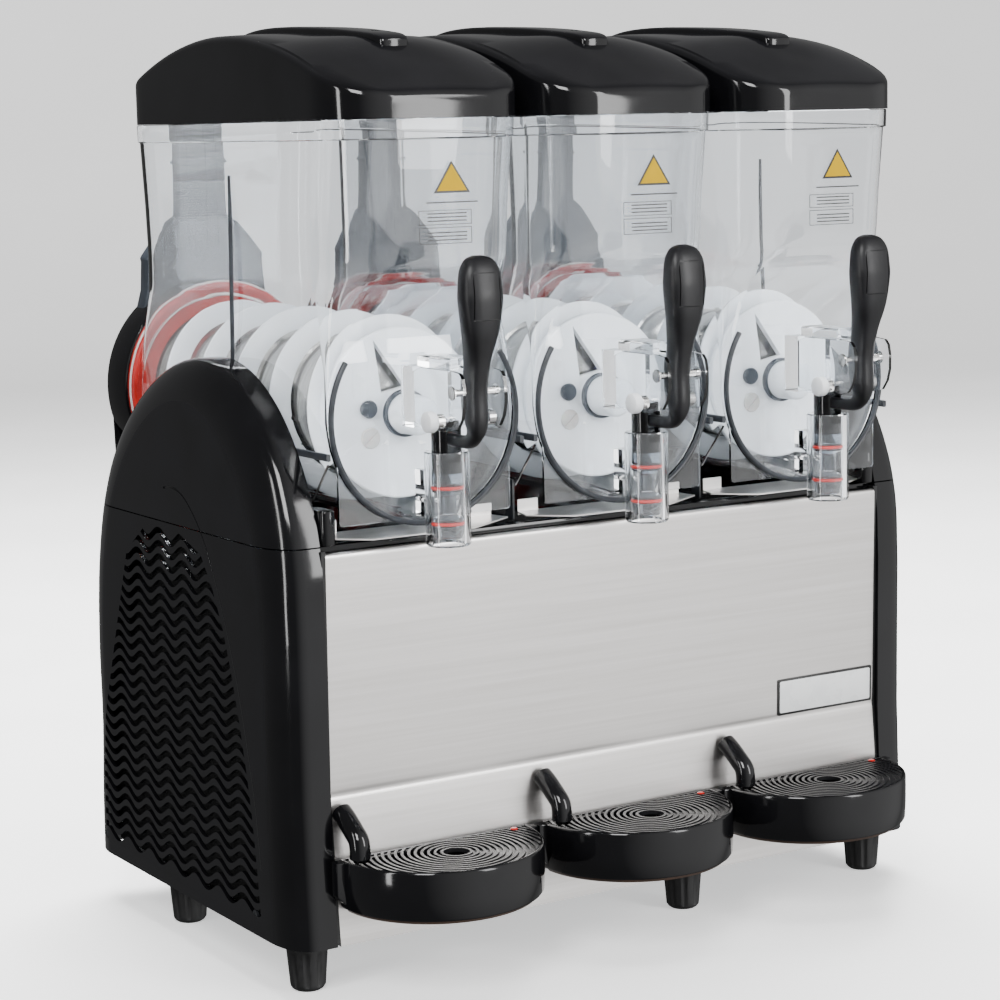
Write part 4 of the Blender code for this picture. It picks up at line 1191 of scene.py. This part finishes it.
def add_housings():
    """Motor cup behind each bowl, the grey cable column and the red lip seal."""
    low, high = CUP_LOW.y, CUP_HIGH.y
    radius = (CUP_HIGH.x - CUP_LOW.x) / 2
    bore, wall = 0.012, 0.004
    profile = [(bore, low), (radius - 0.003, low), (radius - 0.001, low + 0.0008),
               (radius, low + 0.003), (radius, high), (radius - wall, high),
               (radius - wall, low + wall), (bore, low + wall)]
    cup = round_bowl(profile, closed=True)
    at_stations(new_piece("motor_cup", cup, gloss_abs), "root", "matt_black", "housing")
    side = ((0.069, 0.53), (0.0605, 0.56), (0.059, 0.586), (0.06, 0.5885), (0.059, 0.591),
            (0.048, 0.605), (0.036, 0.619), (0.024, 0.627), (0.0232, 0.64), (0.023, 0.674),
            (0.0262, 0.676), (0.023, 0.679), (0.023, 0.708))
    outline = [(x, z) for x, z in side] + [(-x, z) for x, z in reversed(side)]
    column = new_piece("cable_column", prism(outline, "Y", 0.2402, high - 0.0004), smoked_abs,
                       0.0012, 2)
    for x in (-0.015, 0.004, 0.015):
        rib = block((x - 0.0008, 0.2395, 0.6), (x + 0.0008, 0.2412, 0.706))
        welded(column, rib)
    at_stations(column, "root", "matt_black")
    front, back = SEAL_LOW.y, SEAL_HIGH.y
    red = [(0.07, front + 0.002), (0.086, front + 0.002)]
    red += arc((0.0905, front + 0.0052), 0.0045, 250, 355, 7)
    red += [(0.095, back - 0.002), (0.094, back), (0.07, back)]
    seal = round_bowl(red, closed=True)
    at_stations(new_piece("red_seal", seal, silicone), "root", "red_seal", "rear_seal")
    lip = arc((0.0838, front + 0.0014), 0.0014, 0, 360, 12)[:-1]
    outer = arc((0.0952, front + (back - front) * 0.35), 0.0011, 0, 360, 12)[:-1]
    for name, ring in (("inner_lip", lip), ("outer_lip", outer)):
        at_stations(new_piece(name, round_bowl(ring, closed=True),
                              clear_silicone), "root", "red_seal")


# ---------------------------------------------------------------- taps

def add_handles():
    """Tap lever with a broad grip and a blank inset panel, on its pin."""
    stations = through((
        (-0.244, 0.6045, 0.004, 0.003, 0), (-0.2455, 0.6015, 0.0115, 0.007, 0),
        (-0.2465, 0.593, 0.0164, 0.0104, 0), (-0.247, 0.58, 0.0179, 0.0119, 0),
        (-0.247, 0.568, 0.018, 0.0124, 0), (-0.2455, 0.545, 0.0145, 0.012, 0),
        (-0.24, 0.522, 0.0095, 0.0112, 0), (PIVOT_Y, PIVOT_Z, 0.0085, 0.0105, 0),
        (-0.237, 0.474, 0.008, 0.01, 10), (-0.233, 0.464, 0.005, 0.0085, 45),
        (-0.224, 0.4575, 0.0043, 0.0055, 80), (-0.1965, 0.457, 0.0043, 0.0048, 90)), 5)
    rings = []
    for y, z, half_width, half_depth, tilt in stations:
        turn = math.radians(tilt)
        ring = []
        for u, v in arc((0, 0), 1.0, 0, 360, 32)[:-1]:
            depth = half_depth * math.copysign(abs(v) ** 0.72, v)
            ring.append((half_width * math.copysign(abs(u) ** 0.72, u), y + depth * math.cos(turn),
                         z + depth * math.sin(turn)))
        rings.append(ring)
    lever = new_piece("tap_lever", loft(rings), soft_touch_nylon)
    for z in (0.555, 0.5915):
        carved(lever, block((-0.0112, -0.264, z - 0.0004), (0.0112, -0.256, z + 0.0004)))
    for x in (-0.0116, 0.0116):
        carved(lever, block((x - 0.0004, -0.264, 0.5546), (x + 0.0004, -0.256, 0.5919)))
    at_stations(lever, "handle", "matt_black", "handle", angle=45)
    pin = [(0.005, -0.0219), (0.0055, -0.0214), (0.0055, -0.0206), (PIN_RADIUS, -0.0206),
           (PIN_RADIUS, 0.0206), (0.0055, 0.0206), (0.0055, 0.0214), (0.005, 0.0219)]
    pin = turned(pin, "X", (PIVOT_Y, PIVOT_Z), 32)
    at_stations(new_piece("pivot_pin", pin, wire_steel), "handle", "stainless")


def add_pistons():
    """Tap spool: black slotted head, clear grey lower part and two red O-rings."""
    low, high = PISTON_LOW.z, PISTON_HIGH.z
    split = 0.43
    head = round_tap([(0.0122, split), (0.0122, high - 0.001), (0.0112, high)])
    head = new_piece("spool_head", head, gloss_abs)
    carved(head, block((-0.0056, TAP_Y - 0.02, 0.439), (0.0056, TAP_Y + 0.02, 0.4668)))
    at_stations(head, "piston", "matt_black", "piston")
    stem = [(0.01, low), (0.0112, low + 0.001), (0.0126, 0.386), (0.0126, 0.387), (0.0112, 0.3874),
            (0.0112, 0.3906), (0.0126, 0.391), (0.0126, 0.3925), (0.007, 0.396), (0.007, 0.411),
            (0.0126, 0.415), (0.0126, 0.416), (0.0112, 0.4164), (0.0112, 0.4196), (0.0126, 0.42),
            (0.0126, split - 0.0002)]
    stem = new_piece("spool_stem", round_tap(stem), smoked_polycarbonate)
    at_stations(stem, "piston", "matt_black", angle=30)
    for name, z in (("lower_ring", 0.389), ("upper_ring", 0.418)):
        ring = [(0.0124 + 0.0012 * math.cos(t), z + 0.0014 * math.sin(t))
                for t in (math.radians(a) for a in range(0, 360, 30))]
        ring = round_tap(ring, 64, closed=True)
        at_stations(new_piece(name, ring, silicone), "piston", "red_seal")


def add_tap_trim():
    """White knob and bright sleeves on the cheeks, and the wire latch beside each bowl."""
    y, z = -0.22, 0.4752
    knob = [(0.006, -0.037), (0.008, -0.0358), (0.0085, -0.034), (0.0085, -0.03), (0.0075, -0.0284),
            (0.005, -0.028)]
    at_stations(new_piece("white_knob", turned(knob, "X", (y, z), 40), acetal), "bowl",
                "white_plastic")
    bm = bmesh.new()
    for sleeve in (((0.0052, -0.0278), (0.0058, -0.027), (0.0058, -0.0212), (0.0052, -0.0206)),
                   ((0.0058, 0.0206), (0.0064, 0.0212), (0.0064, 0.027), (0.0052, 0.0278))):
        turned(sleeve, "X", (y, z), 32, bm=bm)
    at_stations(new_piece("cheek_sleeves", bm, wire_steel), "bowl", "stainless")
    wire = through(((-0.0908, -0.121, 0.4034), (-0.0908, -0.126, 0.403), (-0.0908, -0.13, 0.407),
                    (-0.0908, -0.159, 0.44)), 5)
    at_stations(new_piece("latch_wire", tube(wire, 0.001, 10), wire_steel), "root", "stainless")
    bm = bmesh.new()
    prism(rounded((-0.127, 0.3728), (-0.115, 0.408), 0.002, 3), "X", -0.094, -0.0922, bm)
    rivet = [(0.003, -0.0922), (0.0036, -0.0916), (0.0036, -0.0902), (0.003, -0.0896)]
    turned(rivet, "X", (-0.121, 0.4034), 24, bm=bm)
    at_stations(new_piece("latch_bracket", bm, painted_steel), "root", "dark_steel")


# ---------------------------------------------------------------- trays

def tray_outline(inset):
    """D shape: straight back edge, round front."""
    back, radius = TRAY_HIGH.y - 0.0004, 0.09
    middle = back - 0.0035
    curve = arc((0, middle), radius - inset, 180, 360, 60)
    return [(-(radius - inset), back - inset)] + curve + [(radius - inset, back - inset)]


def add_trays():
    """Gloss drip tray with a rolled rim, rear lugs and a brown base moulding."""
    low, high = TRAY_LOW.z, TRAY_HIGH.z
    levels = ((0.006, low + 0.004), (0.002, low + 0.0042), (0.0008, low + 0.006), (0.0, low + 0.02),
              (0.0, high - 0.0022), (0.0006, high - 0.0006), (0.0014, high),
              (0.0022, high - 0.0002), (0.0026, high - 0.0012), (0.0026, low + 0.007),
              (0.006, low + 0.0064))
    rings = [[(x, y, z) for x, y in tray_outline(inset)] for inset, z in levels]
    tray = new_piece("drip_pan", loft(rings), gloss_abs)
    lug = [(-0.0965, high - 0.0006), (-0.0965, low + 0.016), (-0.085, low + 0.0042),
           (0.085, low + 0.0042), (0.0965, low + 0.016), (0.0965, high - 0.0006)]
    lug = prism(lug, "Y", TRAY_HIGH.y - 0.01, TRAY_HIGH.y - 0.0002)
    lug = new_piece("lug", lug, gloss_abs, 0.001, 2)
    pocket = prism([(-0.0868, 0.08), (0.0868, 0.08), (0.0868, 0.13), (-0.0868, 0.13)], "Y",
                   TRAY_HIGH.y - 0.03, TRAY_HIGH.y - 0.003)
    carved(lug, pocket)
    combined(tray, lug, "UNION")
    at_stations(tray, "tray", "gloss_black", "drip_tray", angle=40)
    rings = [[(x, y, z) for x, y in tray_outline(inset)] for inset, z in (
        (0.012, low + 0.0002), (0.006, low + 0.001), (0.004, low + 0.0038))]
    at_stations(new_piece("pan_base", loft(rings), brown_moulding), "tray", "gloss_black")
    low, high = GRILLE_LOW.z, GRILLE_HIGH.z
    grille = prism(tray_outline(0.0031), "Z", low - 0.0004, high + 0.0002)
    grille = new_piece("ringed_grille", grille, soft_touch_nylon)
    pitch = sizes().ring_pitch
    common = {"count": 20, "first_radius": 0.015, "pitch": pitch}
    grooves = repeated("grooves", None, ring_rows, width=0.003, depth=0.0024, **common)
    grooves.data.transform(Matrix.Translation((0, TAP_Y, high + 0.0002)))
    combined(grille, grooves, "DIFFERENCE")
    slots = repeated("slots", None, ring_rows, width=0.00301, depth=0.02, **common)
    slots.data.transform(Matrix.Translation((0, TAP_Y, high)))
    back = TRAY_HIGH.y - 0.004
    bm = bmesh.new()
    for side in (-1, 1):
        span = [(side * x, y) for x, y in (
            (0.003, back - 0.004), (0.003, TAP_Y + 0.012), (0.02, TAP_Y - 0.006),
            (0.078, TAP_Y - 0.01), (0.0845, back - 0.012), (0.0845, back - 0.004))]
        prism(span, "Z", low - 0.01, high + 0.01, bm)
    combined(slots, new_piece("span", bm, None), "INTERSECT")
    combined(grille, slots, "DIFFERENCE")
    for radius, place in ((0.011, (0, TAP_Y)), (0.0052, (-0.077, -0.1705))):
        hole = [(radius, low - 0.01), (radius, high + 0.01)]
        carved(grille, turned(hole, "Z", place, 36))
    at_stations(grille, "tray", "gloss_black", "grille", angle=40)
    flag = [(0.0028, low + 0.001), (0.0033, high + 0.0006), (0.0022, high + 0.0014)]
    flag = turned(flag, "Z", (0.074, -0.161), 24)
    at_stations(new_piece("level_float", flag, red_lens), "tray", "red_seal")


def add_spouts():
    """Bent black drain elbow that leaves the panel over each tray."""
    low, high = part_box("middle_drain_spout")
    x = (low.x + high.x) / 2
    path = through(((x - 0.002, high.y - 0.0002, 0.154), (x - 0.0015, -0.154, 0.149),
                    (x - 0.0008, -0.164, 0.1412), (x, -0.1702, 0.135), (x, -0.1722, 0.128),
                    (x, -0.1723, low.z)), 6)
    spout = new_piece("drain_elbow", tube(path, 0.0086, 32), gloss_abs, 0.0014, 3)
    at_stations(spout, "root", "matt_black", "drain_spout")


# ---------------------------------------------------------------- frame nodes that keep their shape

DRESSED = {
    "base_plate": zinc_sheet, "rear_panel": zinc_sheet,
    # Painted shade: the side frames get black enamel so that the view through the vents stays dark.
    "left_frame": painted_steel, "right_frame": painted_steel,
    "rear_cover": grained_abs, "compressor": painted_steel, "fan_motor": painted_steel,
    "fan": fin_stock, "main_switch": red_lens, "cord_inlet": grained_abs,
    "left_gearmotor": painted_steel,
    "middle_gearmotor": painted_steel, "right_gearmotor": painted_steel,
}


def dress_nodes():
    """Gives the carried-over frame nodes their finishes; the black of the side frames is painted
    shade behind the vents.
    """
    for name, maker in DRESSED.items():
        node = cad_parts[name]
        for place in node.material_slots:
            place.material = finish_of(maker)


# ---------------------------------------------------------------- stage

def add_floor():
    """Pale round floor that sweeps up into a wall on every side."""
    flat, sweep, top, thick, eye = 5.0, 2.5, 9.0, 0.1, 0.02
    profile = [(eye, 0.0), (1.5, 0.0), (3.0, 0.0)]
    profile += arc((flat, sweep), sweep, -90, 0, 15)
    wall = flat + sweep
    profile += [(wall, top), (wall + thick, top), (wall + thick, -thick), (eye, -thick)]
    bm = turned([(radius, height - 0.0002) for radius, height in profile], "Z", (0, 0), 96)
    floor = new_piece("studio_sweep", bm, None)
    paper = surface("pale_studio_paper", linear("#f6f6f6"), linear("#fbfbfb"), 300, (0.6, 0.8), 2,
                    0.01, **{"Emission Color": (1.0, 1.0, 1.0, 1.0), "Emission Strength": 0.7})
    floor.data.materials.append(paper)
    floor.data.shade_smooth()
    floor.visible_diffuse = False
    floor.visible_shadow = False
    floor.visible_glossy = False


def add_lamps():
    """Soft area lamps, and a surrounding light that is bright on one side of the front."""
    lamps = (("key", (-1.9, -1.9, 2.2), 0.9, 1.4, 85), ("front", (1.1, -2.7, 1.3), 0.7, 2.0, 60),
             ("side", (-2.7, -0.6, 0.8), 0.25, 2.0, 25), ("top", (0.2, 0.3, 2.8), 2.0, 2.0, 110),
             ("rear", (0.8, 1.6, 2.6), 3.0, 1.2, 260))
    target = Vector((0, 0, 0.4))
    for name, place, width, height, power in lamps:
        light = bpy.data.lights.new(name, "AREA")
        light.shape = "RECTANGLE"
        light.size, light.size_y = width, height
        light.energy = power
        lamp = bpy.data.objects.new(name, light)
        bpy.context.scene.collection.objects.link(lamp)
        lamp.location = place
        lamp.visible_glossy = name not in ("top", "rear")
        lamp.rotation_euler = (target - Vector(place)).to_track_quat("-Z", "Y").to_euler()
    world = bpy.data.worlds.new("studio")
    world.use_nodes = True
    sky = world.node_tree.nodes["Background"]
    sky.inputs["Color"].default_value = linear("#ffffff")
    tree = world.node_tree
    path = add_node(tree, "ShaderNodeLightPath")
    seen = add_node(tree, "ShaderNodeMath", operation="MAXIMUM")
    tree.links.new(path.outputs["Is Camera Ray"], seen.inputs[0])
    tree.links.new(path.outputs["Is Transmission Ray"], seen.inputs[1])
    bearing = add_node(tree, "ShaderNodeVectorMath", operation="DOT_PRODUCT")
    bearing.inputs[1].default_value = (0.53, -0.85, 0.05)
    tree.links.new(add_node(tree, "ShaderNodeTexCoord").outputs["Generated"], bearing.inputs[0])
    screen = add_node(tree, "ShaderNodeMapRange",
                      {"From Min": 0.25, "From Max": 0.95, "To Min": 0.18, "To Max": 1.3},
                      {"Value": bearing.outputs["Value"]})
    level = add_node(tree, "ShaderNodeMapRange", {"To Max": 1.8},
                     {"Value": seen.outputs["Value"], "To Min": screen.outputs["Result"]})
    tree.links.new(level.outputs["Result"], sky.inputs["Strength"])
    bpy.context.scene.world = world


def add_camera():
    """The fitted camera, from its turn, tilt and roll."""
    yaw, pitch, roll = math.radians(31.84), math.radians(8.3), math.radians(-1.27)
    aim = Vector((math.sin(yaw) * math.cos(pitch), math.cos(yaw) * math.cos(pitch),
                  -math.sin(pitch)))
    right = aim.cross(Vector((0, 0, 1))).normalized()
    up = right.cross(aim)
    rolled_right = math.cos(roll) * right + math.sin(roll) * up
    rolled_up = math.cos(roll) * up - math.sin(roll) * right
    data = bpy.data.cameras.new("camera")
    data.sensor_width = 36.0
    data.lens = 92.61
    camera = bpy.data.objects.new("camera", data)
    bpy.context.scene.collection.objects.link(camera)
    turn = Matrix((rolled_right, rolled_up, -aim)).transposed().to_4x4()
    camera.matrix_world = Matrix.Translation((-1.2362, -1.9461, 0.7041)) @ turn
    bpy.context.scene.camera = camera


# ---------------------------------------------------------------- operators and panel

class MACHINE_OT_side_covers(bpy.types.Operator):
    """Add both vented side covers"""

    bl_idname = "drink_machine.side_covers"
    bl_label = "Side Covers"

    def execute(self, context):
        add_side_cover("left", -1)
        add_side_cover("right", 1)
        return {"FINISHED"}


class MACHINE_OT_front_panel(bpy.types.Operator):
    """Add the folded stainless front sheet and its blank badge"""

    bl_idname = "drink_machine.front_panel"
    bl_label = "Front Panel"

    def execute(self, context):
        add_front_panel()
        return {"FINISHED"}


class MACHINE_OT_deck(bpy.types.Operator):
    """Add the black deck and the steel lips under the bowls"""

    bl_idname = "drink_machine.deck"
    bl_label = "Deck"

    def execute(self, context):
        add_deck()
        return {"FINISHED"}


class MACHINE_OT_feet(bpy.types.Operator):
    """Add the six fluted rubber feet"""

    bl_idname = "drink_machine.feet"
    bl_label = "Feet"

    def execute(self, context):
        add_feet()
        return {"FINISHED"}


class MACHINE_OT_cooling_unit(bpy.types.Operator):
    """Add the condenser with its fins and pipes"""

    bl_idname = "drink_machine.cooling_unit"
    bl_label = "Cooling Unit"

    def execute(self, context):
        add_cooling_unit()
        return {"FINISHED"}


class MACHINE_OT_carried_parts(bpy.types.Operator):
    """Finish the parts that keep their frame shape"""

    bl_idname = "drink_machine.carried_parts"
    bl_label = "Carried Parts"

    def execute(self, context):
        dress_nodes()
        return {"FINISHED"}


class MACHINE_OT_bowls(bpy.types.Operator):
    """Add the three clear bowls with their rings and edge trim"""

    bl_idname = "drink_machine.bowls"
    bl_label = "Bowls"

    def execute(self, context):
        add_bowls()
        return {"FINISHED"}


class MACHINE_OT_bowl_marks(bpy.types.Operator):
    """Add the blank printed marks on the bowls"""

    bl_idname = "drink_machine.bowl_marks"
    bl_label = "Bowl Marks"

    def execute(self, context):
        add_labels()
        return {"FINISHED"}


class MACHINE_OT_lids(bpy.types.Operator):
    """Add the three lids with their raised grips"""

    bl_idname = "drink_machine.lids"
    bl_label = "Lids"

    def execute(self, context):
        add_lids()
        return {"FINISHED"}


class MACHINE_OT_drums(bpy.types.Operator):
    """Add the three polished cold drums"""

    bl_idname = "drink_machine.drums"
    bl_label = "Cold Drums"

    def execute(self, context):
        add_drums()
        return {"FINISHED"}


class MACHINE_OT_augers(bpy.types.Operator):
    """Add the three spiral augers"""

    bl_idname = "drink_machine.augers"
    bl_label = "Augers"

    def execute(self, context):
        add_augers()
        return {"FINISHED"}


class MACHINE_OT_housings(bpy.types.Operator):
    """Add the motor cups, cable columns and rear seals"""

    bl_idname = "drink_machine.housings"
    bl_label = "Motor Housings"

    def execute(self, context):
        add_housings()
        return {"FINISHED"}


class MACHINE_OT_levers(bpy.types.Operator):
    """Add the three tap levers on their pins"""

    bl_idname = "drink_machine.levers"
    bl_label = "Tap Levers"

    def execute(self, context):
        add_handles()
        return {"FINISHED"}


class MACHINE_OT_spools(bpy.types.Operator):
    """Add the three tap spools with their O-rings"""

    bl_idname = "drink_machine.spools"
    bl_label = "Tap Spools"

    def execute(self, context):
        add_pistons()
        return {"FINISHED"}


class MACHINE_OT_tap_trim(bpy.types.Operator):
    """Add the knobs, sleeves and wire latches"""

    bl_idname = "drink_machine.tap_trim"
    bl_label = "Tap Trim"

    def execute(self, context):
        add_tap_trim()
        return {"FINISHED"}


class MACHINE_OT_trays(bpy.types.Operator):
    """Add the three drip trays with their ringed grilles"""

    bl_idname = "drink_machine.trays"
    bl_label = "Drip Trays"

    def execute(self, context):
        add_trays()
        return {"FINISHED"}


class MACHINE_OT_drain_elbows(bpy.types.Operator):
    """Add the three drain elbows"""

    bl_idname = "drink_machine.drain_elbows"
    bl_label = "Drain Elbows"

    def execute(self, context):
        add_spouts()
        return {"FINISHED"}


class MACHINE_OT_stage(bpy.types.Operator):
    """Add the floor, lamps and camera"""

    bl_idname = "drink_machine.stage"
    bl_label = "Stage"

    def execute(self, context):
        add_floor()
        add_lamps()
        add_camera()
        return {"FINISHED"}


OPERATORS = (
    MACHINE_OT_side_covers, MACHINE_OT_front_panel, MACHINE_OT_deck, MACHINE_OT_feet,
    MACHINE_OT_cooling_unit, MACHINE_OT_carried_parts, MACHINE_OT_bowls, MACHINE_OT_bowl_marks,
    MACHINE_OT_lids, MACHINE_OT_drums, MACHINE_OT_augers, MACHINE_OT_housings, MACHINE_OT_levers,
    MACHINE_OT_spools, MACHINE_OT_tap_trim, MACHINE_OT_trays, MACHINE_OT_drain_elbows,
    MACHINE_OT_stage,
)


class MACHINE_PT_panel(bpy.types.Panel):
    """Sizes, colours and pieces of the drink machine"""

    bl_label = "Drink Machine"
    bl_space_type = "VIEW_3D"
    bl_region_type = "UI"
    bl_category = "Drink Machine"

    def draw(self, context):
        layout = self.layout
        for group in (sizes(), colours()):
            for name in group.bl_rna.properties.keys():
                if name not in ("rna_type", "name"):
                    layout.prop(group, name)
        for operator in OPERATORS:
            layout.operator(operator.bl_idname)


CLASSES = (MachineSizes, MachineColours, *OPERATORS, MACHINE_PT_panel)


def register():
    """Adds the classes, and the settings to the scene."""
    for cls in CLASSES:
        bpy.utils.register_class(cls)
    bpy.types.Scene.drink_machine_sizes = bpy.props.PointerProperty(type=MachineSizes)
    bpy.types.Scene.drink_machine_colours = bpy.props.PointerProperty(type=MachineColours)


def unregister():
    """Takes the settings and the classes away again."""
    del bpy.types.Scene.drink_machine_colours
    del bpy.types.Scene.drink_machine_sizes
    for cls in reversed(CLASSES):
        bpy.utils.unregister_class(cls)


def main():
    """Makes every piece in turn."""
    register()
    for operator in OPERATORS:
        group, name = operator.bl_idname.split(".")
        getattr(getattr(bpy.ops, group), name)()


if __name__ == "__main__":
    main()
